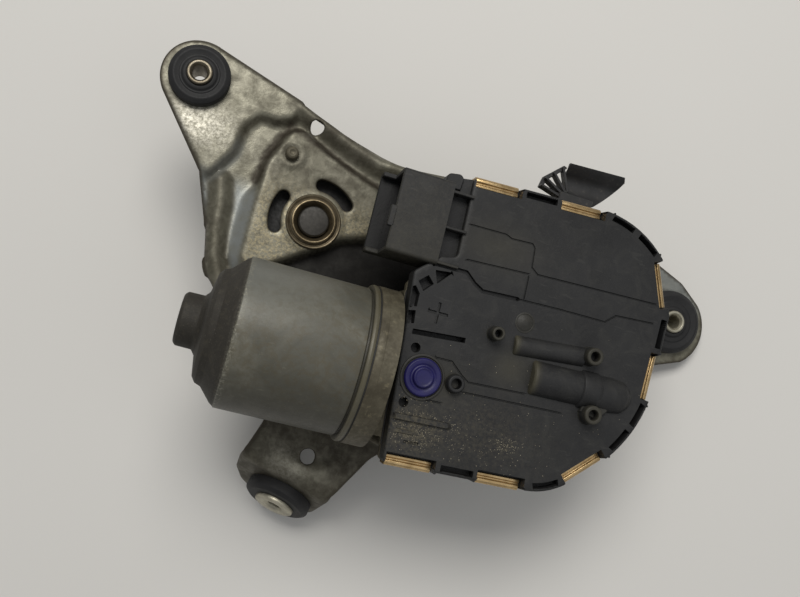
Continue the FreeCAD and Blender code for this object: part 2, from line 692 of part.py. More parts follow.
def motor_can():
    profile = [
        (0, -44), (10, -44), (11, -43), (11, -35), (21.5, -33), (24, -31), (29.3, -25),
        ("dim.can_r", -22), ("dim.can_r", 27.5), ("dim.can_r + 2", 27.5), ("dim.can_r + 2", 29.4),
        ("dim.can_r - dim.can_wall", 29.4), ("dim.can_r - dim.can_wall", -21.5), (27.8, -23.5),
        (22.5, -29.5), (20.5, -31), (9, -33.2), (9, -42), (0, -42),
    ]
    body = turned_piece("motor_can", profile, MOTOR)
    for x, y in CAN_LUGS:
        pad(body, add_circle(sketch_on(body, height=27.5), x, y, 5.5), 1.9)
        cut(body, add_circle(sketch_on(body, height=29.4), x, y, 2.1), 1.9)


# seen along the motor's axis, the two lugs are on the side of the bracket
CAN_LUGS = [(24.5, 26), (24.5, -26)]


def motor_pieces():
    inside_r = "dim.can_r - dim.can_wall"
    turned_piece("can_seal", ring_profile(27.6, "dim.can_r + 1.5", 29.4, 30), MOTOR)
    bearing = ring_profile("dim.shaft_r + dim.running_gap", 9, -41.5, -34)
    turned_piece("nose_bearing", bearing, MOTOR)
    far = ring_profile("dim.shaft_r + dim.running_gap", 8, 41.5, 48)
    turned_piece("worm_bearing", far, MOTOR)
    end = ring_profile("dim.worm_pitch_r - 1.4 + dim.running_gap", 6.5, 109, 115)
    turned_piece("end_bearing", end, MOTOR)
    core = turned_piece("armature_core", ring_profile("dim.shaft_r", "dim.core_r", -20, 20), MOTOR)
    slot = add_box(sketch_on(core, height=20), 14, -2.2, 23, 2.2, 1)
    first = cut(core, slot, 40)
    around(core, first, 12)
    windings = new_body("windings", MOTOR)
    turn(windings, [(9, -26.5), (19, -26.5), (22.5, -23), (22.5, -20.1), (9, -20.1)])
    second = sketch_on(windings, "XZ_Plane")
    add_outline(second, [(9, 20.1), (22.5, 20.1), (22.5, 22), (19, 24.5), (9, 24.5)])
    other_end = windings.newObject("PartDesign::Revolution", "windings_front")
    other_end.Profile = second
    other_end.ReferenceAxis = (second, ["V_Axis"])
    other_end.Angle = 360
    checked(other_end)
    commutator = turned_piece("commutator", ring_profile("dim.shaft_r", 8.5, 24.8, 34), MOTOR)
    groove = add_box(sketch_on(commutator, height=34), 7.6, -0.3, 9, 0.3)
    first = cut(commutator, groove, 9.2)
    around(commutator, first, 12)
    magnets = turned_piece("field_magnets", ring_profile("dim.core_r + 0.9", inside_r, -20, 20), MOTOR)
    gap = add_box(sketch_on(magnets, height=20), -8, -32, 8, 32)
    cut(magnets, gap, 40)
    plate = turned_piece("brush_plate", ring_profile(11, 27.2, 31.5, 33.5), MOTOR)
    for side in (-1, 1):
        holder = add_box(sketch_on(plate, height=28), 9.6, side * 3.4, 20, side * 4.6)
        pad(plate, holder, 3.5)
        holder = add_box(sketch_on(plate, height=28), -20, side * 3.4, -9.6, side * 4.6)
        pad(plate, holder, 3.5)
    brushes = new_body("brushes", MOTOR)
    for low, high in ((8.85, 18), (-18, -8.85)):
        pad(brushes, add_box(sketch_on(brushes, height=28), low, -3.3, high, 3.3), 3.4)
    screws = new_body("can_screws", MOTOR)
    for x, y in CAN_LUGS:
        pad(screws, add_circle(sketch_on(screws, height=25), x, y, 3.8), 2.5)
        pad(screws, add_circle(sketch_on(screws, height=27.5), x, y, 2.1), 9)


# ---------------------------------------------------------------- gear housing


def gear_housing():
    body = new_body("gear_housing")
    depth = "dim.housing_top - dim.housing_floor"
    walls = add_outline(sketch_on(body, height="dim.housing_floor"), WALL_OUTLINE)
    pad(body, walls, depth)
    lip = add_outline(sketch_on(body, height="dim.housing_top"), FLANGE_OUTLINE)
    pad(body, lip, "dim.flange_t", backwards=True)
    # the round flange that the motor can is screwed to
    ring = sketch_on(body, "YZ_Plane", 30)
    add_circle(ring, "dim.motor_y", "dim.motor_z", "dim.can_r + 2")
    pad(body, ring, 9)
    neck = sketch_on(body, "YZ_Plane", 38)
    pad(body, add_box(neck, -84, "dim.housing_floor", -31, "dim.housing_top"), 9)
    tab = add_box(sketch_on(body, height=85), *CLIP_TAB)
    pad(body, tab, 2)
    for down, across in CAN_LUGS:
        lug = sketch_on(body, "YZ_Plane", 30)
        add_circle(lug, f"dim.motor_y + {across}", f"dim.motor_z - {down}", 5.5)
        pad(body, lug, 7)
    tube = sketch_on(body, height="dim.plate_z")
    add_circle(tube, "dim.output_x", "dim.output_y", 13.8)
    pad(body, tube, "dim.housing_floor - dim.plate_z + 1")
    for x, y in MOTOR_BOLTS:
        post = sketch_on(body, height="dim.plate_z + dim.plate_t")
        pad(body, add_circle(post, x, y, 7), "dim.housing_floor - dim.plate_z - dim.plate_t + 1")
    inside = add_outline(sketch_on(body, height="dim.housing_top"), INNER_OUTLINE)
    cut(body, inside, "dim.housing_top - dim.housing_floor - 3")
    # the rib inside that carries the far end of the worm
    rib = add_box(sketch_on(body, "YZ_Plane", 109), -66, 75, -49, 93.5)
    pad(body, rib, 6)
    housing_bores(body)


def housing_bores(body):
    motor_bore = sketch_on(body, "YZ_Plane", 30)
    cut(body, add_circle(motor_bore, "dim.motor_y", "dim.motor_z", 27.5), 6, forwards=True)
    shaft_hole = sketch_on(body, "YZ_Plane", 35)
    cut(body, add_circle(shaft_hole, "dim.motor_y", "dim.motor_z", 8), 18, forwards=True)
    rib_bore = sketch_on(body, "YZ_Plane", 109)
    cut(body, add_circle(rib_bore, "dim.motor_y", "dim.motor_z", 6.5), 6, forwards=True)
    for down, across in CAN_LUGS:
        lug = sketch_on(body, "YZ_Plane", 30)
        add_circle(lug, f"dim.motor_y + {across}", f"dim.motor_z - {down}", 2.1)
        cut(body, lug, 7, forwards=True)
    bore = sketch_on(body, height="dim.housing_floor + 3")
    add_circle(bore, "dim.output_x", "dim.output_y", "dim.output_bush_r")
    cut(body, bore, "dim.housing_floor - dim.plate_z + 4")
    for x, y in MOTOR_BOLTS:
        hole = add_circle(sketch_on(body, height=62), x, y, 2.9)
        cut(body, hole, 14)


def motor_bolts():
    body = new_body("motor_bolts")
    for x, y in MOTOR_BOLTS:
        head = sketch_on(body, height="dim.plate_z - 4", offset=None)
        add_outline(head, [(x + u, y + v) for u, v in hexagon(10)])
        pad(body, head, 4)
        shank = add_circle(sketch_on(body, height="dim.plate_z"), x, y, 2.9)
        pad(body, shank, 15)


def cover_seal():
    body = new_body("cover_seal")
    outside = [(x, y, r) for x, y, r in inset(WALL_OUTLINE, (98, -32), 0.995)]
    pad(body, add_outline(sketch_on(body, height="dim.housing_top"), outside), "dim.seal_t")
    inside = add_outline(sketch_on(body, height="dim.housing_top + dim.seal_t"), INNER_OUTLINE)
    cut(body, inside, "dim.seal_t")


# ---------------------------------------------------------------- cover

COVER_LOW = "dim.housing_top + dim.seal_t"
SOCKET = {"x": (24, 54), "y": (-12.5, 22), "z": (86, 108), "wall": 2, "depth": 20}
LARGE_DOME = (Vector(97, -46.3, 103.5), Vector(141, -45.3, 103.5), 7.5)
SMALL_DOME = (Vector(87, -35.4, 104.5), Vector(118, -32.8, 104.5), 4.4)
BOSSES = [
    (77.8, -33.2, 2.9, 112), (125, -55.3, 4, 112), (120.5, -32, 3.8, 112), (66.2, -56.6, 3.6, 110),
]
PLUG = (52.9, -57.3)


def gear_cover():
    body = new_body("gear_cover")
    pad(body, add_outline(sketch_on(body, height=COVER_LOW), COVER_OUTLINE), "dim.flange_t")
    crown = add_outline(sketch_on(body, height=COVER_LOW), CROWN_OUTLINE)
    pad(body, crown, f"dim.cover_top - ({COVER_LOW})")
    for start, end, radius in (LARGE_DOME, SMALL_DOME):
        lying = pointing(start, end - start, Y_AXIS)
        round_end = add_circle(sketch_on(body, offset=lying), 0, 0, radius)
        pad(body, round_end, (end - start).Length)
    for x, y, radius, top in BOSSES:
        pad(body, add_circle(sketch_on(body, height=104), x, y, radius), top - 104)
    socket_shell(body)
    inside = add_outline(sketch_on(body, height="dim.cover_top - dim.cover_wall"), INNER_OUTLINE)
    cut(body, inside, f"dim.cover_top - dim.cover_wall - ({COVER_LOW}) + 4")
    start, end, radius = LARGE_DOME
    along = (end - start).normalize()
    hollow = sketch_on(body, offset=pointing(start + along * 2.5, along, Y_AXIS))
    cut(body, add_circle(hollow, 0, 0, radius - 1.8), (end - start).Length - 5, forwards=True)
    # pegs that hold the circuit board down
    pegs = sketch_on(body, height=95.8)
    for x, y in ((84, 15), (138, -12), (112, -74)):
        add_circle(pegs, x, y, 2.6)
    pad(body, pegs, 8.2)
    under_dome = add_box(sketch_on(body, height=COVER_LOW), 130, -56, 148, -36)
    cut(body, under_dome, 3)
    plug_hole = add_circle(sketch_on(body, height="dim.cover_top"), *PLUG, 5.2)
    cut(body, plug_hole, 3.5)
    for x, y, radius, top in BOSSES[:3]:
        cut(body, add_circle(sketch_on(body, height=top), x, y, radius * 0.5), 5)


def socket_shell(body):
    """The plug socket that the cover carries; its mouth faces along -X."""
    (x_low, x_high), (y_low, y_high), (z_low, z_high) = (SOCKET[k] for k in "xyz")
    wall = SOCKET["wall"]
    block = add_box(sketch_on(body, "YZ_Plane", x_low), y_low, z_low, y_high, z_high, 2)
    pad(body, block, x_high - x_low)
    lip = sketch_on(body, "YZ_Plane", x_low - 4)
    add_box(lip, y_low, z_low, y_high, z_low + wall + 4)
    pad(body, lip, 4)
    bridge = add_box(sketch_on(body, height=COVER_LOW), x_high - 1, y_low + 3, x_high + 6, y_high)
    pad(body, bridge, 7)
    mouth = sketch_on(body, "YZ_Plane", x_low - 4)
    add_box(mouth, y_low + wall, z_low + wall, y_high - wall, z_high - wall, 1)
    cut(body, mouth, SOCKET["depth"] + 4, forwards=True)
    pin_rows(body, cut_along)


def pin_row(body, outline, shape_with):
    """Five equal pins side by side, added to the body or cut out of it."""
    sketch = add_outline(sketch_on(body, "XZ_Plane", -18.1), outline)
    first = shape_with(body, sketch, 2.2)
    row = body.newObject("PartDesign::LinearPattern", f"{body.Name}_row")
    row.Originals = [first]
    row.Direction = (sketch, ["N_Axis"])
    row.Length = 24
    row.Occurrences = 5
    body.Tip = row
    checked(row)


def pin_rows(body, shape_with):
    """Two rows of pins that run through the socket's back wall and down to the board."""
    upper = [(31, 101), (76, 101), (76, 95.8), (76.8, 95.8), (76.8, 101.8), (31, 101.8)]
    pin_row(body, upper, shape_with)
    lower = [
        (31, 94), (52, 94), (52, 99), (70, 99), (70, 95.8), (70.8, 95.8), (70.8, 99.8),
        (51.2, 99.8), (51.2, 94.8), (31, 94.8),
    ]
    pin_row(body, lower, shape_with)


def connector_pins():
    pin_rows(new_body("connector_pins"), pad)


def cover_pieces():
    plug = [
        (0, 102.5), (5.2, 102.5), (5.2, "dim.cover_top"), (7.7, "dim.cover_top"),
        (7.7, "dim.cover_top + 1.2"), (7.2, "dim.cover_top + 1.7"), (4.2, "dim.cover_top + 1.7"),
        (4, "dim.cover_top + 2.6"), (0, "dim.cover_top + 2.6"),
    ]
    turned_piece("vent_plug", plug, at(*PLUG))
    board = new_body("circuit_board")
    pad(board, add_outline(sketch_on(board, height=94.2), BOARD_OUTLINE), 1.6)
    capacitor = new_body("power_capacitor")
    start, end, radius = LARGE_DOME
    along = (end - start).normalize()
    lying = pointing(start + along * 5, along, Y_AXIS)
    pad(capacitor, add_circle(sketch_on(capacitor, offset=lying), 0, 0, radius - 2.4), 32)


# which side of the cover's outline each clip is on, and how far along it its middle is
CLIPS = [(0, 11), (0, 49), (2, 10.8), (4, 10.5), (5, 13.5), (7, 11.9), (7, 50)]


def clip_section(body, place):
    """A C of spring sheet, clear of both flanges and closed round their edge."""
    sheet = 0.8
    low = size("dim.housing_top - dim.flange_t") - sheet
    high = size(f"{COVER_LOW} + dim.flange_t") + sheet
    outer = [(-3.6, low), (1, low, 0.9), (1, high, 0.9), (-3.6, high)]
    inner = [(-3.6, high - sheet), (1 - sheet, high - sheet), (1 - sheet, low + sheet), (-3.6, low + sheet)]
    section = add_outline(sketch_on(body, offset=place), outer + inner)
    pad(body, section, "dim.clip_length")


def cover_clips():
    body = new_body("cover_clips")
    for side, distance in CLIPS:
        start = Vector(*COVER_OUTLINE[side][:2], 0)
        end = Vector(*COVER_OUTLINE[side + 1][:2], 0)
        along = (end - start).normalize()
        outward = along.cross(Z_AXIS)
        first = start + along * (distance + size("dim.clip_length") / 2)
        clip_section(body, Placement(first, Rotation(outward, Z_AXIS, along * -1, "XYZ")))


def harness_clip():
    """The black plastic clip for the wiring, on the housing's long side."""
    body = new_body("harness_clip")
    base = add_outline(sketch_on(body, height=84), [(99, 26.6), (114, 27.4), (114, 40), (99, 40)])
    pad(body, base, 4)
    tray = [(90, 37), (103, 36.5, 2), (119, 37, 2), (131, 47.5, 1.5), (131, 53, 1.5), (102.5, 52.5, 1)]
    pad(body, add_outline(sketch_on(body, height=82), tray), 2.2)
    rim = add_box(sketch_on(body, height=82), 104, 50.8, 129.4, 52.4)
    pad(body, rim, 4)
    cut(body, add_box(sketch_on(body, height=87), *CLIP_TAB), 2)


# ---------------------------------------------------------------- the whole drive


def build():
    bracket_plate()
    rubber_mounts()
    spindle_housing()
    housing_rivets()
    spindle_pieces()
    linkage()
    output_pieces()
    worm_wheel()
    armature_shaft()
    motor_can()
    motor_pieces()
    gear_housing()
    motor_bolts()
    cover_seal()
    gear_cover()
    connector_pins()
    cover_pieces()
    cover_clips()
    harness_clip()


def export():
    """Puts each piece in its place, tests it and writes it to parts/."""
    for body, place in PIECES:
        body.Placement = place
    DOC.recompute()
    for thing in DOC.Objects:
        if "Invalid" in thing.State or "Error" in thing.State:
            raise RuntimeError(f"{thing.Label} failed: {thing.State}")
    os.makedirs("parts", exist_ok=True)
    for body, _ in PIECES:
        shape = body.Shape
        if shape.isNull() or not shape.isValid():
            raise RuntimeError(f"{body.Label} has no valid shape")
        shape.exportStep(f"parts/{body.Label}.step")
        print(f"{body.Label}: {len(shape.Solids)} solid(s), {shape.Volume:.0f} mm3")


build()
export()
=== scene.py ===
import json
import math
import random

import bmesh
import bpy
import numpy as np
from mathutils import Matrix, Vector
from mathutils.geometry import delaunay_2d_cdt


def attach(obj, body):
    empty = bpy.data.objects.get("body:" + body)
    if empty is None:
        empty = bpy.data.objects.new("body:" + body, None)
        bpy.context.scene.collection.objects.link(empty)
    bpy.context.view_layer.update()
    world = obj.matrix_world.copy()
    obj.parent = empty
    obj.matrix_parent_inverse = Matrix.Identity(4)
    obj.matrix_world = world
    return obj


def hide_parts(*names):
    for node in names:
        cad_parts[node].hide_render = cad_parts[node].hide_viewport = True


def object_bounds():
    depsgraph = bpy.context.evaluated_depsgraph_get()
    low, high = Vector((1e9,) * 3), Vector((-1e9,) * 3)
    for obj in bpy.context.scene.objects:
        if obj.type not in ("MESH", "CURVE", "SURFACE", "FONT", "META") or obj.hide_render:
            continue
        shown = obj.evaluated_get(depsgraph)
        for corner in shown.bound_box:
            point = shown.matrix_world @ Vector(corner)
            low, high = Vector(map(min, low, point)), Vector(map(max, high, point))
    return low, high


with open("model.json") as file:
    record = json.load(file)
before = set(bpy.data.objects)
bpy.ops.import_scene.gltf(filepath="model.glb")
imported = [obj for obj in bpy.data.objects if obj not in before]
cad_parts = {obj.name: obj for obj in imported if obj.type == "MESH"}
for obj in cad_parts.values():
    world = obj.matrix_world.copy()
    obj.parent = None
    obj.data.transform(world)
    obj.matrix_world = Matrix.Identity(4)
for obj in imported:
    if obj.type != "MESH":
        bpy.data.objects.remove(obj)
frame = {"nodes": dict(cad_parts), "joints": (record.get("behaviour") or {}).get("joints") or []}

CAD_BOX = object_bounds()

# Every piece is drawn in the drive frame of the CAD source, in millimetres: the origin is the
# spindle's tip, +Z runs up the spindle and +X along the motor.  TO_ROW turns that into the
# row frame, in metres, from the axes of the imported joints.
JOINT_AXIS = {j["name"]: np.array(j["axis"], float) for j in frame["joints"]}
DRIVE_X = JOINT_AXIS["armature_spin"] / np.linalg.norm(JOINT_AXIS["armature_spin"])
DRIVE_Z = JOINT_AXIS["spindle_turn"] / np.linalg.norm(JOINT_AXIS["spindle_turn"])
DRIVE_Y = np.cross(DRIVE_Z, DRIVE_X)
TO_ROW = np.stack([DRIVE_X, DRIVE_Y, DRIVE_Z], axis=1) * 0.001


# ------------------------------------------------------------------ outlines and shells


def unit(v):
    v = np.asarray(v, float)
    return v / np.linalg.norm(v)


def rounded(corners, step=0.8):
    """Points round a closed outline whose corners are (x, y) or (x, y, rounding)."""
    points = []
    count = len(corners)
    for i, corner in enumerate(corners):
        p = np.array(corner[:2], float)
        r = corner[2] if len(corner) > 2 else 0
        if r <= 0:
            points.append(p)
            continue
        a = np.array(corners[i - 1][:2], float) - p
        b = np.array(corners[(i + 1) % count][:2], float) - p
        limit = 0.49 * min(np.linalg.norm(a), np.linalg.norm(b))
        a, b = unit(a), unit(b)
        half = math.acos(max(-1, min(1, float(a @ b)))) / 2
        reach = min(r / math.tan(half), limit)
        r = reach * math.tan(half)
        centre = p + unit(a + b) * (r / math.sin(half))
        first, last = p + a * reach - centre, p + b * reach - centre
        start = math.atan2(first[1], first[0])
        turn = (math.atan2(last[1], last[0]) - start + math.pi) % (2 * math.pi) - math.pi
        pieces = max(2, int(abs(turn) * r / step) + 1)
        for k in range(pieces + 1):
            angle = start + turn * k / pieces
            points.append(centre + r * np.array([math.cos(angle), math.sin(angle)]))
    return np.array(points)


def arc(x, y, r, start, end, step=1.0):
    count = max(2, int(abs(math.radians(end - start)) * r / step))
    angles = np.radians(np.linspace(start, end, count + 1))
    return np.stack([x + r * np.cos(angles), y + r * np.sin(angles)], axis=1)


def spaced(points, step, closed=True):
    """The same line with a point about every step."""
    points = np.asarray(points, float)
    ends = np.roll(points, -1, axis=0) if closed else points[1:]
    starts = points if closed else points[:-1]
    out = []
    for a, b in zip(starts, ends):
        count = max(1, round(float(np.linalg.norm(b - a)) / step))
        out += [a + (b - a) * k / count for k in range(count)]
    if not closed:
        out.append(points[-1])
    return np.array(out)


def offset(points, distance, closed=True):
    """The line moved to its left by distance; that is inwards for a counterclockwise outline."""
    points = np.asarray(points, float)
    ahead, behind = np.roll(points, -1, axis=0), np.roll(points, 1, axis=0)
    if not closed:
        ahead[-1] = 2 * points[-1] - points[-2]
        behind[0] = 2 * points[0] - points[1]
    along = ahead - behind
    along /= np.maximum(np.linalg.norm(along, axis=1, keepdims=True), 1e-9)
    left = np.stack([-along[:, 1], along[:, 0]], axis=1)
    return points + left * distance


def gap_to(points, line, closed=False):
    """How far each point is from a line."""
    line = np.asarray(line, float)
    a = line if closed else line[:-1]
    b = np.roll(line, -1, axis=0) if closed else line[1:]
    e = b - a
    best = np.full(len(points), 1e9)
    for start, edge in zip(a, e):
        w = points - start
        t = np.clip(w @ edge / max(float(edge @ edge), 1e-12), 0, 1)
        best = np.minimum(best, np.hypot(*(w - t[:, None] * edge).T))
    return best


def inside(points, outline):
    a, b = np.asarray(outline, float), np.roll(outline, -1, axis=0)
    x, y = points[:, :1], points[:, 1:]
    rise = np.where(np.abs(b[:, 1] - a[:, 1]) < 1e-12, 1e-12, b[:, 1] - a[:, 1])
    crossing = a[:, 0] + (y - a[:, 1]) * (b[:, 0] - a[:, 0]) / rise
    hits = ((a[:, 1] > y) != (b[:, 1] > y)) & (x < crossing)
    return hits.sum(axis=1) % 2 == 1


def depth_in(points, outline):
    """How far each point lies inside an outline; negative outside."""
    gap = gap_to(points, outline, closed=True)
    return np.where(inside(points, outline), gap, -gap)


def smooth_step(value, low, high):
    t = np.clip((np.asarray(value, float) - low) / (high - low), 0, 1)
    return t * t * (3 - 2 * t)


def mesh_over(outline, holes, guides, grid):
    """Triangles over an outline with holes, with extra points where the relief changes."""
    loops = [np.asarray(outline)] + [np.asarray(h) for h in holes]
    points, edges = [], []
    for loop in loops:
        first = len(points)
        points += list(loop)
        edges += [(first + i, first + (i + 1) % len(loop)) for i in range(len(loop))]
    low, high = loops[0].min(axis=0), loops[0].max(axis=0)
    rows = np.arange(low[1], high[1], grid * 0.866)
    field = [
        (x, y)
        for n, y in enumerate(rows)
        for x in np.arange(low[0] + (n % 2) * grid / 2, high[0], grid)
    ]
    field = np.array(field)
    guides = np.concatenate(guides) if len(guides) else np.zeros((0, 2))
    if len(guides):
        near = np.full(len(field), 1e9)
        for start in range(0, len(field), 400):
            part = field[start : start + 400]
            away = np.linalg.norm(part[:, None] - guides[None], axis=2).min(axis=1)
            near[start : start + 400] = away
        field = field[near > 0.45 * grid]

    def kept(candidates, margin):
        good = depth_in(candidates, loops[0]) > margin
        for hole in loops[1:]:
            good &= depth_in(candidates, hole) < -margin
        return candidates[good]

    free = [kept(field, 0.4 * grid)]
    if len(guides):
        free.append(kept(guides, 0.05))
    for cloud in free:
        points += list(cloud)
    result = delaunay_2d_cdt([Vector(p) for p in points], edges, [], 0, 1e-4, False)
    flat = np.array([tuple(v) for v in result[0]])
    triangles = np.array([f for f in result[2] if len(f) == 3])
    middle = flat[triangles].mean(axis=1)
    good = inside(middle, loops[0])
    for hole in loops[1:]:
        good &= ~inside(middle, hole)
    return flat, triangles[good]


def border_edges(triangles):
    """Directed edges that only one triangle has."""
    seen = {}
    for a, b, c in triangles:
        for edge in ((a, b), (b, c), (c, a)):
            seen[edge] = seen.get(edge, 0) + 1
    return [e for e in seen if (e[1], e[0]) not in seen]


def closed_between(top, under, triangles):
    """A closed shell of two sheets with the same triangles, joined round their borders."""
    count = len(top)
    faces = [tuple(int(i) for i in t) for t in triangles]
    faces += [tuple(int(i) + count for i in reversed(t)) for t in triangles]
    faces += [(int(b), int(a), int(a) + count, int(b) + count) for a, b in border_edges(triangles)]
    return np.concatenate([top, under]), faces


def placed(points, origin=(0, 0, 0), z_axis=(0, 0, 1), x_axis=(1, 0, 0)):
    """Points in local axes, moved into the drive frame."""
    z = unit(z_axis)
    y = unit(np.cross(z, x_axis))
    x = np.cross(y, z)
    return np.asarray(points, float) @ np.stack([x, y, z]) + np.asarray(origin, float)


def lathe(profile, steps=96, step=0.5, **place):
    """A solid of revolution about local Z from a closed profile of (radius, height, rounding)."""
    line = rounded(profile, step)
    points, rings = [], []
    for r, h in line:
        if r < 1e-6:
            rings.append([len(points)])
            points.append((0, 0, h))
        else:
            rings.append(list(range(len(points), len(points) + steps)))
            for k in range(steps):
                angle = 2 * math.pi * k / steps
                points.append((r * math.cos(angle), r * math.sin(angle), h))
    faces = []
    for ring, following in zip(rings, rings[1:] + rings[:1]):
        if len(ring) == 1 and len(following) == 1:
            continue
        for k in range(steps):
            n = (k + 1) % steps
            if len(ring) == 1:
                faces.append((ring[0], following[n], following[k]))
            elif len(following) == 1:
                faces.append((ring[k], ring[n], following[0]))
            else:
                faces.append((ring[k], ring[n], following[n], following[k]))
    return placed(points, **place), faces


def prism(outline, low, high, bevel=0.4, **place):
    """An outline raised from low to high, with small bevels round both faces."""
    outline = np.asarray(outline, float)
    area = float(np.sum(
        outline[:, 0] * np.roll(outline[:, 1], -1) - outline[:, 1] * np.roll(outline[:, 0], -1)
    ))
    if area < 0:
        outline = outline[::-1]
    count = len(outline)
    rims = []
    for share in (1, 0.3, 0):
        rims.append((bevel * share, bevel * (1 - share)))
    rings = []
    for inward, up in rims:
        ring = offset(outline, inward) if inward else outline
        rings.append(np.column_stack([ring, np.full(count, low + up)]))
    for inward, up in reversed(rims):
        ring = offset(outline, inward) if inward else outline
        rings.append(np.column_stack([ring, np.full(count, high - up)]))
    points = np.concatenate(rings)
    faces = [tuple(range(count))[::-1], tuple(range(5 * count, 6 * count))]
    for r in range(5):
        for k in range(count):
            n = (k + 1) % count
            faces.append((r * count + k, r * count + n, (r + 1) * count + n, (r + 1) * count + k))
    return placed(points, **place), faces


def block(low, high, rounding=0.6, bevel=0.4):
    (x0, y0, z0), (x1, y1, z1) = low, high
    corners = [(x0, y0, rounding), (x1, y0, rounding), (x1, y1, rounding), (x0, y1, rounding)]
    return prism(rounded(corners, 0.4), z0, z1, bevel)


def swept(section, start, end, up=(0, 0, 1)):
    """A section of (outward, height) carried straight from one point to another, capped."""
    start, end = np.asarray(start, float), np.asarray(end, float)
    along = unit(end - start)
    outward = unit(np.cross(along, up))
    section = np.asarray(section, float)
    count = len(section)
    rings = []
    for base, shrink in ((start, 0.82), (start + along * 0.25, 1), (end - along * 0.25, 1), (end, 0.82)):
        centre = section.mean(axis=0)
        ring = section if shrink == 1 else section + (centre - section) * (1 - shrink) * 0.12
        rings.append(base + ring[:, :1] * outward + ring[:, 1:] * np.asarray(up, float))
    faces = [tuple(range(count)), tuple(range(3 * count, 4 * count))[::-1]]
    for r in range(3):
        for k in range(count):
            n = (k + 1) % count
            faces.append((r * count + n, r * count + k, (r + 1) * count + k, (r + 1) * count + n))
    return np.concatenate(rings), faces


def make(name, shells, material, body="frame", stands_for=(), sharp=32, marks=None):
    """One piece of closed shells drawn in the drive frame, riding on a CAD body."""
    points, faces = [], []
    for shell_points, shell_faces in shells:
        base = sum(len(p) for p in points)
        points.append(np.asarray(shell_points, float))
        faces += [tuple(i + base for i in f) for f in shell_faces]
    cloud = np.concatenate(points)
    mesh = bpy.data.meshes.new(name)
    mesh.from_pydata([tuple(p) for p in cloud @ TO_ROW.T], [], faces)
    for key, values in (marks(cloud) if marks else {}).items():
        layer = mesh.attributes.new(key, "FLOAT", "POINT")
        layer.data.foreach_set("value", np.asarray(values, np.float32))
    work = bmesh.new()
    work.from_mesh(mesh)
    bmesh.ops.recalc_face_normals(work, faces=work.faces)
    work.to_mesh(mesh)
    work.free()
    mesh.shade_smooth()
    mesh.set_sharp_from_angle(angle=math.radians(sharp))
    mesh.materials.append(material)
    piece = bpy.data.objects.new(name, mesh)
    bpy.context.scene.collection.objects.link(piece)
    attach(piece, body)
    if stands_for:
        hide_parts(*stands_for)
    return piece


# ------------------------------------------------------------------ materials


class Paint:
    """A node material: every helper returns a socket that the next one can take."""

    def __init__(self, name):
        self.material = bpy.data.materials.new(name)
        self.material.use_nodes = True
        self.tree = self.material.node_tree
        self.tree.nodes.clear()
        output = self.add("ShaderNodeOutputMaterial")
        self.shader = self.add("ShaderNodeBsdfPrincipled")
        self.tree.links.new(self.shader.outputs[0], output.inputs[0])
        self.place = self.add("ShaderNodeTexCoord").outputs["Object"]

    def add(self, kind, **settings):
        node = self.tree.nodes.new(kind)
        for key, value in settings.items():
            setattr(node, key, value)
        return node

    def join(self, socket, value):
        if isinstance(value, bpy.types.NodeSocket):
            self.tree.links.new(value, socket)
        elif isinstance(value, tuple) and len(value) == 3:
            socket.default_value = (*value, 1)
        else:
            socket.default_value = value

    def noise(self, scale, detail=3, rough=0.55, warp=0.0):
        node = self.add("ShaderNodeTexNoise")
        self.join(node.inputs["Vector"], self.place)
        for key, value in (("Scale", scale), ("Detail", detail), ("Roughness", rough), ("Distortion", warp)):
            node.inputs[key].default_value = value
        return node.outputs["Fac"]

    def cells(self, scale, output="Color", feature="F1"):
        node = self.add("ShaderNodeTexVoronoi", feature=feature)
        self.join(node.inputs["Vector"], self.place)
        node.inputs["Scale"].default_value = scale
        return node.outputs[output]

    def streaks(self, scale, stretch):
        """Noise that is drawn out along one direction."""
        mapping = self.add("ShaderNodeMapping")
        self.join(mapping.inputs["Vector"], self.place)
        mapping.inputs["Scale"].default_value = stretch
        node = self.add("ShaderNodeTexNoise")
        self.join(node.inputs["Vector"], mapping.outputs[0])
        node.inputs["Scale"].default_value = scale
        node.inputs["Detail"].default_value = 4
        return node.outputs["Fac"]

    def mark(self, name):
        return self.add("ShaderNodeAttribute", attribute_name=name).outputs["Fac"]

    def span(self, value, low, high, to_low=0.0, to_high=1.0):
        node = self.add("ShaderNodeMapRange")
        node.clamp = True
        for key, v in zip(
            ("Value", "From Min", "From Max", "To Min", "To Max"), (value, low, high, to_low, to_high)
        ):
            self.join(node.inputs[key], v)
        return node.outputs[0]

    def times(self, a, b):
        node = self.add("ShaderNodeMath", operation="MULTIPLY")
        self.join(node.inputs[0], a)
        self.join(node.inputs[1], b)
        return node.outputs[0]

    def plus(self, a, b):
        node = self.add("ShaderNodeMath", operation="ADD")
        self.join(node.inputs[0], a)
        self.join(node.inputs[1], b)
        return node.outputs[0]

    def blend(self, share, a, b, kind="MIX"):
        node = self.add("ShaderNodeMix", data_type="RGBA", blend_type=kind)
        self.join(node.inputs[0], share)
        self.join(node.inputs[6], a)
        self.join(node.inputs[7], b)
        return node.outputs[2]

    def bump(self, height, depth, strength=1.0, over=None):
        node = self.add("ShaderNodeBump")
        node.inputs["Strength"].default_value = strength
        node.inputs["Distance"].default_value = depth
        self.join(node.inputs["Height"], height)
        if over is not None:
            self.join(node.inputs["Normal"], over)
        return node.outputs[0]

    def done(self, colour, roughness, metallic=0.0, normal=None, **more):
        self.join(self.shader.inputs["Base Color"], colour)
        self.join(self.shader.inputs["Roughness"], roughness)
        self.shader.inputs["Metallic"].default_value = metallic
        if normal is not None:
            self.join(self.shader.inputs["Normal"], normal)
        for key, value in more.items():
            self.shader.inputs[key.replace("_", " ")].default_value = value
        return self.material


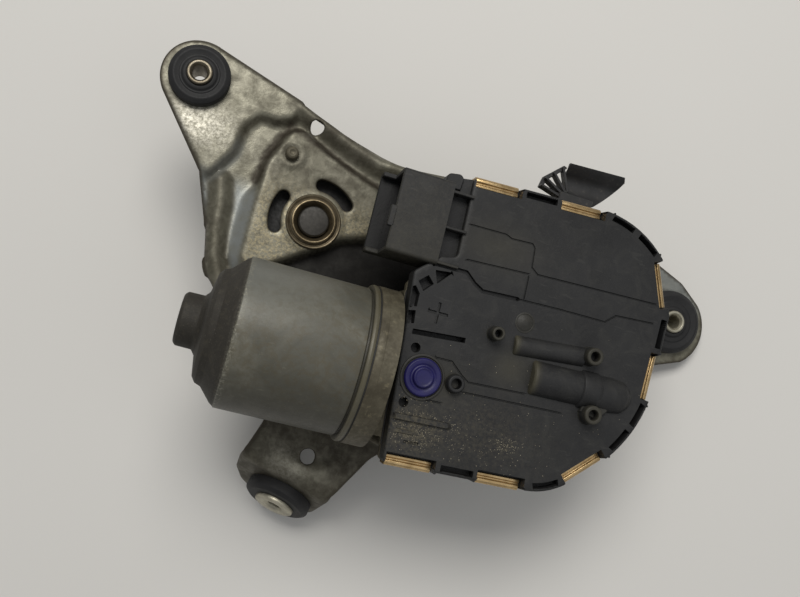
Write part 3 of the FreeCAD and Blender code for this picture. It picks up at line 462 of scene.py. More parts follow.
def plain_finish(name, dark, light, metallic, rough, grain, depth=0.00005, dust=None):
    """Mottled colour with fine grain: for castings, mouldings and turned parts."""
    p = Paint(name)
    broad = p.noise(grain * 0.15, 4, 0.6)
    fine = p.noise(grain, 5, 0.6)
    colour = p.blend(p.span(broad, 0.35, 0.65), dark, light)
    colour = p.blend(p.span(fine, 0.35, 0.7, 0.0, 0.5), colour, dark)
    if dust:
        specks = p.span(p.noise(grain * 0.6, 6, 0.7), 0.58, 0.72)
        colour = p.blend(specks, colour, dust)
    roughness = p.span(fine, 0.3, 0.7, rough[0], rough[1])
    return p.done(colour, roughness, metallic, p.bump(fine, depth, 0.6))


def galvanised_finish():
    p = Paint("galvanised_sheet")
    broad = p.noise(38, 4, 0.6, 0.4)
    medium = p.noise(170, 5, 0.65, 0.3)
    fine = p.noise(900, 4, 0.7)
    spangle = p.cells(420)
    colour = p.blend(p.span(broad, 0.35, 0.65), (0.105, 0.098, 0.068), (0.185, 0.175, 0.135))
    colour = p.blend(p.span(spangle, 0.1, 0.95, 0.0, 0.42), colour, (0.29, 0.275, 0.21))
    colour = p.blend(p.span(medium, 0.42, 0.66, 0.0, 0.6), colour, (0.062, 0.055, 0.036))
    # painted highlight: the raised upper ear and a spot by the lower mount are made much lighter
    colour = p.blend(
        p.times(p.mark("painted_highlight"), p.span(p.noise(620, 5, 0.8), 0.40, 0.62, 0.1, 1)), colour,
        (0.62, 0.59, 0.50)
    )
    # painted reflection: a pale blue-grey sheen on the slopes beside the panel, by the side ear and at the
    # upper ear's step
    colour = p.blend(p.times(p.mark("painted_reflection"), p.span(medium, 0.3, 0.7, 0.6, 1)), colour, (0.26, 0.275, 0.27))
    colour = p.blend(p.times(p.mark("grain"), p.span(fine, 0.42, 0.6)), colour, (0.30, 0.255, 0.155))
    # dark brown: real grime in places, and painted shade in the grooves, along the left bead, on the upper
    # ear's step and over the lower arm
    colour = p.blend(
        p.times(p.mark("dirt_and_shade"), p.span(medium, 0.25, 0.6, 0.6, 1)), colour, (0.034, 0.026, 0.017)
    )
    colour = p.blend(p.times(p.mark("rim"), p.span(fine, 0.2, 0.6, 0.75, 1)), colour, (0.05, 0.041, 0.027))
    # painted deep shade: near-black over the sheet between the panel and the can
    colour = p.blend(p.mark("painted_deep_shade"), colour, (0.006, 0.0055, 0.005))
    rough = p.span(medium, 0.3, 0.7, 0.34, 0.52)
    rough = p.plus(rough, p.times(p.mark("dirt_and_shade"), 0.25))
    normal = p.bump(fine, 0.00009, 0.6)
    normal = p.bump(medium, 0.0004, 0.5, normal)
    return p.done(colour, rough, 0.5, normal)


def can_finish():
    p = Paint("can_paint")
    broad = p.noise(30, 5, 0.65, 0.6)
    medium = p.noise(140, 5, 0.7, 0.5)
    fine = p.noise(1100, 4, 0.7)
    colour = p.blend(p.span(broad, 0.38, 0.62), (0.078, 0.075, 0.058), (0.145, 0.138, 0.108))
    stain = p.times(p.span(p.noise(300, 6, 0.75, 0.4), 0.46, 0.6), p.mark("stain"))
    colour = p.blend(stain, colour, (0.082, 0.066, 0.036))
    # painted shade: the lower side of the can, away from the light, is made darker
    colour = p.blend(
        p.times(p.mark("low"), p.span(medium, 0.2, 0.6, 0.55, 0.95)), colour, (0.038, 0.036, 0.026)
    )
    # painted highlight: a pale blue-grey sheen on the upper left of the can
    colour = p.blend(p.times(p.mark("pale"), 0.6), colour, (0.135, 0.142, 0.132))
    scuffs = p.span(p.streaks(900, (0.25, 1, 1)), 0.66, 0.76, 0, 0.3)
    colour = p.blend(scuffs, colour, (0.17, 0.16, 0.12))
    colour = p.blend(
        p.times(p.mark("nose"), p.span(medium, 0.2, 0.5, 0.85, 1)), colour, (0.020, 0.017, 0.012)
    )
    grime = p.times(p.mark("nose"), p.span(p.noise(420, 5, 0.7), 0.52, 0.7))
    colour = p.blend(p.times(grime, 0.5), colour, (0.05, 0.043, 0.028))
    colour = p.blend(p.times(p.mark("chips"), p.span(fine, 0.5, 0.6)), colour, (0.22, 0.21, 0.165))
    colour = p.blend(p.times(p.mark("seam"), 0.92), colour, (0.012, 0.011, 0.01))
    colour = p.blend(
        p.times(p.mark("flange"), p.span(medium, 0.3, 0.6, 0.4, 1)), colour, (0.085, 0.074, 0.044)
    )
    rough = p.plus(p.span(fine, 0.3, 0.7, 0.40, 0.52), p.times(p.mark("nose"), 0.25))
    flecks = p.span(p.noise(1900, 4, 0.75), 0.63, 0.7, 0, 0.6)
    colour = p.blend(flecks, colour, (0.20, 0.185, 0.14))
    normal = p.bump(fine, 0.00008, 0.5)
    normal = p.bump(p.times(medium, p.plus(p.mark("nose"), 0.15)), 0.0003, 0.5, normal)
    return p.done(colour, rough, 0.12, normal)


def cover_finish():
    p = Paint("cover_plastic")
    broad = p.noise(45, 4, 0.6, 0.3)
    fine = p.noise(1500, 3, 0.6)
    specks = p.noise(620, 6, 0.8)
    grit = p.noise(2300, 3, 0.7)
    patches = p.noise(110, 6, 0.7, 0.8)
    colour = p.blend(p.span(broad, 0.35, 0.65), (0.0095, 0.0095, 0.010), (0.016, 0.016, 0.0165))
    colour = p.blend(p.span(fine, 0.4, 0.7, 0, 0.25), colour, (0.030, 0.030, 0.029))
    colour = p.blend(p.span(patches, 0.48, 0.72, 0, 0.5), colour, (0.034, 0.033, 0.030))
    colour = p.blend(p.span(grit, 0.64, 0.72, 0, 0.7), colour, (0.075, 0.071, 0.058))
    scratches = p.span(p.streaks(620, (0.10, 1, 1)), 0.62, 0.72, 0, 0.35)
    colour = p.blend(scratches, colour, (0.045, 0.044, 0.040))
    colour = p.blend(p.span(specks, 0.66, 0.75, 0, 0.5), colour, (0.085, 0.08, 0.062))
    dusty = p.times(p.mark("dust"), p.span(specks, 0.42, 0.66))
    colour = p.blend(dusty, colour, (0.11, 0.095, 0.062))
    colour = p.blend(p.times(p.mark("film"), p.span(broad, 0.2, 0.7, 0.5, 1)), colour, (0.062, 0.056, 0.036))
    # painted shade: pockets, grooves and fine lines are made near-black
    colour = p.blend(p.mark("deep"), colour, (0.0035, 0.0035, 0.004))
    rough = p.plus(p.span(fine, 0.3, 0.7, 0.46, 0.6), p.times(p.mark("dust"), 0.15))
    normal = p.bump(patches, 0.00035, 0.35, p.bump(fine, 0.00006, 0.6))
    return p.done(colour, rough, 0.0, normal, Specular_IOR_Level=0.34)


def rubber_finish():
    p = Paint("mount_rubber")
    broad = p.noise(120, 5, 0.65, 0.3)
    fine = p.noise(1400, 4, 0.7)
    colour = p.blend(p.span(broad, 0.35, 0.65), (0.011, 0.011, 0.0115), (0.018, 0.0178, 0.018))
    colour = p.blend(p.span(p.noise(500, 6, 0.75), 0.64, 0.8, 0, 0.4), colour, (0.05, 0.047, 0.038))
    return p.done(
        colour, p.span(fine, 0.3, 0.7, 0.52, 0.7), 0.0, p.bump(fine, 0.00005, 0.5), Specular_IOR_Level=0.32
    )


def turned_finish(name, dark, light, rough=(0.22, 0.4)):
    """Machined or plated steel, with worn spots and fine scratches."""
    p = Paint(name)
    broad = p.noise(150, 4, 0.6, 0.3)
    fine = p.streaks(1300, (1, 1, 0.2))
    colour = p.blend(p.span(broad, 0.3, 0.7), dark, light)
    colour = p.blend(p.span(p.noise(420, 6, 0.7), 0.55, 0.75, 0, 0.6), colour, (0.10, 0.08, 0.05))
    return p.done(colour, p.span(fine, 0.3, 0.7, *rough), 0.85, p.bump(fine, 0.00003, 0.4))


def clip_finish():
    p = Paint("clip_spring")
    fine = p.streaks(1500, (1, 1, 0.25))
    broad = p.noise(200, 5, 0.6, 0.4)
    colour = p.blend(p.span(broad, 0.3, 0.7), (0.36, 0.245, 0.115), (0.58, 0.42, 0.22))
    colour = p.blend(p.span(p.noise(700, 5, 0.7), 0.55, 0.72, 0, 0.55), colour, (0.20, 0.13, 0.07))
    return p.done(colour, p.span(fine, 0.3, 0.7, 0.24, 0.38), 0.9, p.bump(fine, 0.00003, 0.4))


def plug_finish():
    p = Paint("blue_plastic")
    broad = p.noise(260, 4, 0.6)
    fine = p.noise(1500, 4, 0.7)
    colour = p.blend(p.span(broad, 0.3, 0.7), (0.007, 0.0055, 0.055), (0.012, 0.0095, 0.085))
    colour = p.blend(p.span(p.noise(900, 6, 0.75), 0.6, 0.75, 0, 0.4), colour, (0.06, 0.055, 0.10))
    return p.done(
        colour, p.span(fine, 0.3, 0.7, 0.4, 0.55), 0.0, p.bump(fine, 0.00004, 0.4), Specular_IOR_Level=0.36
    )


def copper_finish():
    p = Paint("copper_wire")
    wires = p.add("ShaderNodeTexWave", wave_type="BANDS")
    p.join(wires.inputs["Vector"], p.place)
    wires.inputs["Scale"].default_value = 420
    wires.inputs["Distortion"].default_value = 2
    colour = p.blend(wires.outputs["Fac"], (0.30, 0.10, 0.04), (0.62, 0.28, 0.12))
    return p.done(colour, 0.32, 0.9, p.bump(wires.outputs["Fac"], 0.0003, 0.8))


FINISH = {
    "galvanised_sheet": galvanised_finish(),
    "mount_rubber": rubber_finish(),
    "seal_rubber": plain_finish(
        "seal_rubber", (0.010, 0.010, 0.010), (0.022, 0.021, 0.02), 0, (0.55, 0.75), 900
    ),
    "zinc_steel": turned_finish("zinc_steel", (0.42, 0.40, 0.35), (0.62, 0.60, 0.54)),
    "shaft_steel": turned_finish("shaft_steel", (0.36, 0.35, 0.33), (0.55, 0.54, 0.52)),
    "cast_alloy": plain_finish(
        "cast_alloy", (0.055, 0.046, 0.028), (0.13, 0.115, 0.078), 0.35, (0.5, 0.7), 700, 0.00012,
        (0.17, 0.145, 0.088)
    ),
    "bearing_bronze": plain_finish(
        "bearing_bronze", (0.22, 0.15, 0.07), (0.42, 0.31, 0.16), 0.8, (0.3, 0.5), 900
    ),
    "can_paint": can_finish(),
    "magnet_ferrite": plain_finish(
        "magnet_ferrite", (0.03, 0.03, 0.032), (0.06, 0.06, 0.065), 0.2, (0.5, 0.7), 800
    ),
    "core_steel": plain_finish("core_steel", (0.12, 0.12, 0.12), (0.24, 0.24, 0.24), 0.7, (0.35, 0.55), 900),
    "copper_wire": copper_finish(),
    "carbon": plain_finish("carbon", (0.015, 0.015, 0.015), (0.035, 0.035, 0.035), 0.1, (0.5, 0.7), 1200),
    "black_plastic": plain_finish(
        "black_plastic", (0.010, 0.010, 0.010), (0.022, 0.021, 0.021), 0, (0.38, 0.6), 800, 0.00006,
        (0.06, 0.055, 0.045)
    ),
    "cover_plastic": cover_finish(),
    "gear_plastic": plain_finish("gear_plastic", (0.48, 0.44, 0.33), (0.62, 0.58, 0.46), 0, (0.35, 0.5), 900),
    "blue_plastic": plug_finish(),
    "board_laminate": plain_finish(
        "board_laminate", (0.015, 0.09, 0.04), (0.03, 0.14, 0.06), 0, (0.35, 0.5), 1200
    ),
    "capacitor_metal": turned_finish("capacitor_metal", (0.40, 0.40, 0.41), (0.60, 0.60, 0.61)),
    "clip_spring": clip_finish(),
    "tinned_brass": turned_finish("tinned_brass", (0.50, 0.47, 0.38), (0.66, 0.63, 0.53)),
}
# CAD nodes that keep their shape, by the slot that they are painted from
KEPT_NODES = {
    "cast_alloy": "spindle_housing gear_housing",
    "bearing_bronze": "lower_bush output_bush nose_bearing end_bearing commutator",
    "seal_rubber": "can_seal cover_seal",
    "shaft_steel": "worm_bearing output_shaft crank_ball_pin armature_shaft lever_ball_pin spindle_circlip",
    "magnet_ferrite": "field_magnets position_magnet",
    "black_plastic": "brush_plate lever_socket crank_socket",
    "carbon": "brushes",
    "zinc_steel": (
        "can_screws motor_bolts thrust_washer output_washer crank crank_nut spindle_lever "
        "spindle_washer link_rod"
    ),
    "tinned_brass": "connector_pins",
    "board_laminate": "circuit_board",
    "capacitor_metal": "power_capacitor",
    "gear_plastic": "worm_wheel",
    "core_steel": "armature_core",
    "copper_wire": "windings",
}


def repaint_nodes():
    named = [(name, slot) for slot, names in KEPT_NODES.items() for name in names.split()]
    for name, slot in named:
        node = frame["nodes"][name]
        node.data.materials.clear()
        node.data.materials.append(FINISH[slot])
        node.data.shade_smooth()
        node.data.set_sharp_from_angle(angle=math.radians(30))


# ------------------------------------------------------------------ bracket

SHEET_T = 2.0
BASE_TOP = 48.0
BEND_AT = np.array([22.0, -115.56])
BEND_ALONG = np.array([0.952, -0.306])
BEND_OUT = np.array([-0.306, -0.952])
BEND_ANGLE = math.radians(67.7)
BEND_R = 8.0
EAR_REACH = 20.1
UPPER_MOUNT = (-64.8, 49.2)
SIDE_MOUNT = (186.0, 2.0)
EAR_NORMAL = unit((-0.283, -0.882, 0.379))
LOWER_MOUNT = np.array([19.8, -122.4, 27.8])
RIVET = (-17.0, 27.3)
PANEL = rounded([
    (-18, 41, 6), (-26.5, 20, 12), (-26.8, -31, 5), (-12, -22, 8), (15, -3, 10), (28.5, 1, 5),
    (27, 22.2, 6), (0, 31.5, 14),
])
EAR_TOP = rounded([
    (-100, 62, 0), (-82, 28, 0), (-56, 8, 0), (-50, 10, 4), (-42.8, 22, 6), (-41.5, 34, 8),
    (-35, 42.5, 6), (-28, 41.5, 5), (-20, 45, 5), (-15, 62, 0), (-60, 90, 0),
])
FLANGE_CREST = [
    (-22, 52.5), (-12, 47.5), (-2, 44.3), (9.6, 39.6), (23.4, 35.7), (40, 35.6), (58, 36), (76, 32),
    (100, 26)
]
LEFT_BEAD = [
    (-44.2, 7.5), (-41.8, -2), (-40.6, -15), (-38.2, -26), (-33.5, -36), (-24.5, -46.5), (-12, -61),
    (-2, -74)
]


def on_ear(along, up):
    """A point of the flat blank, on the lower ear."""
    return tuple(BEND_AT + BEND_ALONG * along + BEND_OUT * (EAR_REACH - up))


def bracket_outline():
    lower = rounded(
        [
            (-77.98, 38.14), (-54.5, 9, 14), (-46.6, -12, 20), (-42, -33, 14), (-8, -74, 12), (3.2, -88, 10),
            (-3.6, -107, 4), on_ear(-26.6, 12), on_ear(-24, -4) + (12,), on_ear(-16, -21) + (14,),
            on_ear(7, -21.5) + (14,), on_ear(19.5, -12) + (14,), on_ear(18.4, 16),
            (40, -119, 4), (53, -98, 10), (66, -86, 20), (96, -80, 20), (150, -42, 20), (184, -21, 6),
            (197.2, -16.5),
        ],
        1.0,
    )
    side = arc(186.2, 1, 20.6, -55, 42)
    upper = rounded(
        [
            (202.2, 13.9), (190.5, 23.5, 8), (174, 30, 10), (158, 32, 10), (118, 24, 30), (62, 40.5, 20),
            (32, 39, 30),
            (4, 45.5, 30), (-14, 52, 40), (-59.8, 65.6),
        ],
        1.0,
    )
    ear = arc(*UPPER_MOUNT, 17.2, 74, 219)
    return spaced(np.concatenate([lower[:-1], side, upper[1:], ear]), 1.1)


def kidney(middle, half=24, r=17.5, width=5.6):
    low, high = middle - half, middle + half
    outer = arc(0, 0, r + width / 2, low, high, 0.7)
    inner = arc(0, 0, r - width / 2, high, low, 0.7)
    caps = []
    for angle, turn in ((high, 180), (low, 180)):
        a = math.radians(angle)
        start = angle if angle == high else angle + 180
        caps.append(arc(r * math.cos(a), r * math.sin(a), width / 2, start, start + turn, 0.7)[1:-1])
    return np.concatenate([outer, caps[0], inner, caps[1]])


def bracket_height(points):
    """How far the sheet's top stands above the base plate."""
    ear = np.maximum(depth_in(points, EAR_TOP), 17.2 - np.hypot(*(points - UPPER_MOUNT).T))
    height = 4.0 * smooth_step(ear, -3.6, 0.6)
    crest = gap_to(points, FLANGE_CREST)
    roll = 4.6 * (0.5 + 0.5 * np.cos(np.pi * np.clip(crest / 7.2, 0, 1)))
    roll *= smooth_step(points[:, 0], -32, -16) * (1 - smooth_step(points[:, 0], 70, 100))
    height = np.maximum(height, roll)
    bead = gap_to(points, LEFT_BEAD)
    height = np.maximum(height, 3.6 * (1 - np.clip(bead / 5.4, 0, 1) ** 2) ** 1.3)
    inner = depth_in(points, PANEL)
    reach = 3.0 + 5.0 * smooth_step(-points[:, 0], 22, 30) * (1 - smooth_step(points[:, 1], 2, 12))
    rise = 6.0 * smooth_step(inner / reach, -1.0, 0.12)
    height = np.maximum(height, rise)
    about = np.hypot(*(points - RIVET).T)
    height += 0.55 * smooth_step(-np.abs(about - 5.2), -1.5, -0.5)
    around_spindle = np.hypot(points[:, 0], points[:, 1])
    height += 0.5 * smooth_step(-around_spindle, -14.2, -13.2)
    # a shallow dish round the lower hole, and a rib towards the side ear
    dish = np.hypot(points[:, 0] - 27, (points[:, 1] + 96) * 1.25)
    height -= 1.6 * (1 - smooth_step(dish, 8, 17))
    ridge = gap_to(points, [(150, 12), (172, 20), (188, 20)])
    height += 1.0 * (0.5 + 0.5 * np.cos(np.pi * np.clip(ridge / 5, 0, 1)))
    return height


def bracket_point(points):
    """Where a point of the flat blank goes: embossed, and bent down at the lower ear."""
    height = bracket_height(points)
    run = (points - BEND_AT) @ BEND_OUT
    side = (points - BEND_AT) @ BEND_ALONG
    lead = BEND_R * math.tan(BEND_ANGLE / 2)
    arc_length = BEND_R * BEND_ANGLE
    t = np.where(np.abs(side + 4) < 30, run + lead, -1)
    t = np.where(t > 0, t, 0)
    phi = np.clip(t / BEND_R, 0, BEND_ANGLE)
    beyond = np.clip(t - arc_length, 0, None)
    out = BEND_R * np.sin(phi) + beyond * math.cos(BEND_ANGLE)
    down = BEND_R * (1 - np.cos(phi)) + beyond * math.sin(BEND_ANGLE)
    base = points - BEND_OUT * t[:, None]
    flat = base + BEND_OUT * out[:, None]
    normal = np.column_stack([BEND_OUT * np.sin(phi)[:, None], np.cos(phi)])
    return np.column_stack([flat, BASE_TOP - down]) + normal * height[:, None]


def bracket():
    outline = bracket_outline()
    holes = [
        arc(*UPPER_MOUNT, 8, 0, 352, 1), arc(*SIDE_MOUNT, 8, 0, 352, 1), arc(*on_ear(0, 0), 8, 0, 352, 1),
        arc(0, 0, 11.1, 0, 354, 0.8), arc(92, -26, 14, 0, 354, 1.2), arc(25.2, -102.8, 3.4, 0, 340, 0.6),
        arc(-9.1, 43.4, 3.2, 0, 340, 0.6), kidney(177.5), kidney(66.5),
    ] + [arc(x, y, 3.2, 0, 330, 0.8) for x, y in ((70, 8), (128, 2), (128, -60))]
    guides = [offset(outline, d) for d in (0.3, 0.8)]
    guides += [offset(h, -d) for h in holes for d in (0.25, 0.7)]
    flat, triangles = mesh_over(outline, holes, guides, 1.5)
    step = 0.05
    spot = bracket_point(flat)
    across = bracket_point(flat + (step, 0)) - bracket_point(flat - (step, 0))
    along = bracket_point(flat + (0, step)) - bracket_point(flat - (0, step))
    normal = np.cross(across, along)
    normal /= np.linalg.norm(normal, axis=1, keepdims=True)
    edge = depth_in(flat, outline)
    ring = np.abs(edge)
    for hole in holes:
        ring = np.minimum(ring, np.abs(depth_in(flat, hole)))
    drop = 0.5 * (1 - np.clip(ring / 0.8, 0, 1)) ** 2
    # the long edges are rolled down where the sheet is pressed
    rolled = smooth_step(flat[:, 0], -85, -60) * (1 - smooth_step(flat[:, 0], 40, 60))
    drop += 0.9 * rolled * (1 - smooth_step(edge, 0, 2.2))
    top = spot - normal * drop[:, None]
    under = spot - normal * (SHEET_T + drop * rolled * 0.6)[:, None]
    shell = closed_between(top, under, triangles)

    def marks(_):
        ear = depth_in(flat, EAR_TOP)
        panel = depth_in(flat, PANEL)
        x, y = flat[:, 0], flat[:, 1]
        crest = gap_to(flat, FLANGE_CREST)
        bead = gap_to(flat, LEFT_BEAD)
        lower = (flat - BEND_AT) @ BEND_OUT
        # darker along the panel's upper-left edge, with rust there and painted shade on the panel's step;
        # painted shade in the groove along its right slope
        apex = gap_to(flat, [(-29.5, 12), (-27.5, 25), (-24, 34), (-19.5, 39.5), (-10, 38)])
        groove = gap_to(flat, [(-21, 41), (-13, 38), (0, 33.7), (12.5, 28.3), (26, 25)])
        dirt_and_shade = 0.95 * (1 - smooth_step(apex, 1.2, 3.2)) * (y > 8)
        dirt_and_shade = np.maximum(dirt_and_shade, 1.0 * (1 - smooth_step(groove, 1.2, 3.4)))
        dirt_and_shade = np.maximum(
            dirt_and_shade,
            0.55 * (1 - smooth_step(crest, 3, 8)) * smooth_step(x, -30, -12) * (1 - smooth_step(x, 8, 30))
        )
        # painted shade line along the inner edge of the left bead
        dirt_and_shade = np.maximum(dirt_and_shade, 0.35 * (1 - smooth_step(np.abs(bead - 5.2), 0.3, 1.6)))
        dirt_and_shade = np.maximum(dirt_and_shade, 0.30 * (1 - smooth_step(bead, 3, 5.5)))
        dirt_and_shade = np.maximum(dirt_and_shade, 0.30 * smooth_step(panel, 0, 3) * smooth_step(y, -4, 20))
        # painted shade of the can across the flat lower arm
        dirt_and_shade = np.maximum(dirt_and_shade, 0.75 * smooth_step(-lower, 4, 18) * (y < -80))
        # painted shade on the step down from the upper ear, strongest towards the panel
        dirt_and_shade = np.maximum(
            dirt_and_shade,
            (
                0.18 + 0.35 * smooth_step(x, -40, -26)
            ) * (1 - smooth_step(np.abs(ear + 1.6), 0.5, 2.2)) * smooth_step(x, -56, -44) * (x < -18)
        )
        dirt_and_shade = np.maximum(dirt_and_shade, 0.35 * (1 - smooth_step(np.hypot(x - RIVET[0], y - RIVET[1]), 5.5, 9)))
        # painted deep shade: near-black over the sheet between the panel and the can
        painted_deep_shade = smooth_step(-panel, 1.0, 3.0) * smooth_step(-y, -14, -2) * smooth_step(x, -26,
        -18) * (1 - smooth_step(x, 150, 165))
        painted_deep_shade *= 1 - smooth_step(-y, 62, 82)
        dirt_and_shade = np.maximum(dirt_and_shade, painted_deep_shade)
        # painted shade over the lower arm and ear, except a strip just before the bend
        dirt_and_shade = np.maximum(
            dirt_and_shade,
            0.62 * smooth_step(-y, 80, 92) * (1 - np.exp(-(((x - 22) / 14) ** 2 + ((y + 109) / 6) ** 2)))
        )
        rim = 1 - smooth_step(edge, 0.5, 1.6)
        rim = np.maximum(rim * np.where(lower > 0, 0.35, 1), 0.8 * (1 - smooth_step(ring, 0.1, 0.5)))
        # painted highlight on the raised upper ear and beside the lower mount, half as strong on the
        # underside
        painted_highlight = smooth_step(ear, 0, 3) * np.exp(-(((x + 62) / 17) ** 2 + ((y - 29) / 9) ** 2))
        painted_highlight = np.maximum(painted_highlight, 0.25 * (1 - smooth_step(np.hypot(x - 16, y + 108), 6, 14)))
        # painted reflection on the slopes that face the key light
        painted_reflection = smooth_step(-panel, 0.5, 2.5) * smooth_step(bead, 4.8, 7.5) * smooth_step(-x, 25,
        29) * (1 - smooth_step(y, 2, 14))
        painted_reflection = np.maximum(painted_reflection, 0.75 * smooth_step(x, 170, 178) * smooth_step(y, 6, 16))
        painted_reflection = np.maximum(
            painted_reflection,
            0.5 * smooth_step(-ear, -1, 1) * (1 - smooth_step(-ear, 3, 6)) * smooth_step(-x, 36,
            41) * (1 - smooth_step(y, 24, 32))
        )
        grain = smooth_step(panel, 0, 2) * (1 - smooth_step(y, -2, 22)) * 0.75
        both = {
            "dirt_and_shade": dirt_and_shade, "rim": rim, "painted_highlight": painted_highlight, "painted_reflection": painted_reflection, "grain": grain, "painted_deep_shade": 0.9 * painted_deep_shade
        }
        return {k: np.concatenate([v, v * (0.5 if k == "painted_highlight" else 1)]) for k, v in both.items()}

    make("bracket", [shell], FINISH["galvanised_sheet"],
         stands_for=["bracket_plate"], sharp=72, marks=marks)


# ------------------------------------------------------------------ rubber mounts


def mount(name, head, worn, **place):
    body = [
        (5.6, -7.0), (head - 2.2, -7.0, 1.0), (head, -5.6, 1.4), (head, -1.05, 0.4), (8.05, -1.05),
        (8.05, 1.05),
        (head, 1.05, 0.4), (head, 4.9, 1.6), (head - 2.4, 6.6, 1.2), (head * 0.66, 5.7, 1.0),
        (head * 0.63, 6.1, 0.4), (8.0, 6.0, 0.6), (7.2, 6.9, 0.7), (6.2, 7.2, 0.3), (5.6, 6.9),
    ]
    make(f"{name}_rubber_mount", [lathe(body, 120, 0.35, **place)], FINISH["mount_rubber"],
         stands_for=[f"{name}_grommet"])
    sleeve = [
        (3.3, -7.6, 0.3), (4.4, -8.6, 0.2), (9.4, -8.6, 0.3), (9.5, -7.05, 0.2), (5.5, -7.05),
        (5.5, 8.1, 0.2),
        (5.1, 8.6, 0.2), (4.3, 8.6, 0.2), (3.3, 7.2, 0.4),
    ]
    make(f"{name}_spacer", [lathe(sleeve, 80, 0.25, **place)], worn,
         stands_for=[f"{name}_sleeve"])


def mounts():
    middle = BASE_TOP - SHEET_T / 2
    worn = turned_finish("worn_zinc", (0.12, 0.10, 0.07), (0.25, 0.22, 0.165), (0.36, 0.52))
    mount("upper", 13.6, worn, origin=(*UPPER_MOUNT, middle + 4))
    pale = turned_finish("pale_zinc", (0.27, 0.25, 0.19), (0.55, 0.52, 0.42), (0.38, 0.55))
    mount("side", 15.8, pale, origin=(*SIDE_MOUNT, middle))
    mount("lower", 15.8, pale, origin=LOWER_MOUNT, z_axis=-EAR_NORMAL)


# ------------------------------------------------------------------ spindle


def spindle():
    tip = [(0, 0), (3.9, 0, 0.2)]
    for k in range(7):
        z = 0.8 + k * 1.25
        tip += [(4.35, z), (4.95, z + 0.45), (4.95, z + 0.7), (4.35, z + 1.15)]
    shaft = tip + [
        (5.4, 9.9), (6.9, 16.2, 0.2), (7, 17), (6.25, 17), (6.25, 18.2), (7, 18.2), (7, 56.0, 0.3),
        (6.4, 56.8, 0.3), (0, 56.9),
    ]
    dark = plain_finish("spindle_end", (0.020, 0.018, 0.015), (0.042, 0.038, 0.032), 0.4, (0.42, 0.6), 700)
    make(
        "wiper_spindle", [lathe(shaft, 96, 0.4)], dark, body="spindle",
        stands_for=["spindle"]
    )
    collar = [
        (9.55, 49), (11, 49), (11, 53.9), (12.5, 54.1, 0.3), (12.6, 55.0, 0.3), (12.0, 55.6, 0.4),
        (11.3, 55.2, 0.3),
        (10.9, 54.9, 0.2), (10.5, 55.5, 0.2), (9.55, 55.9),
    ]
    brown = turned_finish("worn_collar", (0.085, 0.068, 0.042), (0.17, 0.14, 0.092), (0.36, 0.55))
    make("spindle_collar", [lathe(collar, 120, 0.3)], brown, stands_for=["bearing_collar"])
    bush = [
        (7.05, 49), (9.5, 49), (9.5, 55.6), (10.1, 56.2, 0.4), (9.9, 56.9, 0.4), (9.2, 57.0, 0.3),
        (8.2, 55.6, 0.5),
        (7.35, 54.4, 0.4), (7.05, 53.5),
    ]
    gold = turned_finish("worn_bush", (0.10, 0.075, 0.042), (0.26, 0.205, 0.125), (0.3, 0.48))
    make("spindle_bush", [lathe(bush, 120, 0.3)], gold, stands_for=["upper_bush"])
    x, y = RIVET
    head = [
        (0, 46.1), (2.35, 46.1), (2.35, 52.2), (3.1, 53.0), (3.15, 55.2, 0.3), (2.75, 57.2, 0.8),
        (1.6, 57.9, 0.5),
        (0.9, 57.5, 0.3), (0, 57.3),
    ]
    flush = [(0, 40.1), (2.3, 40.1), (2.3, 46), (3.2, 46.1), (3.2, 47.3), (2.4, 47.5), (0, 47.5)]
    shells = [lathe(head, 48, 0.3, origin=(x, y, 0))]
    shells += [lathe(flush, 48, 0.3, origin=(*spot, 0)) for spot in ((35, 6), (-35.5, 2))]
    make("tube_rivets", shells, FINISH["cast_alloy"], stands_for=["housing_rivets"])


# ------------------------------------------------------------------ motor can

CAN_AT = (0, -57.5, 86)


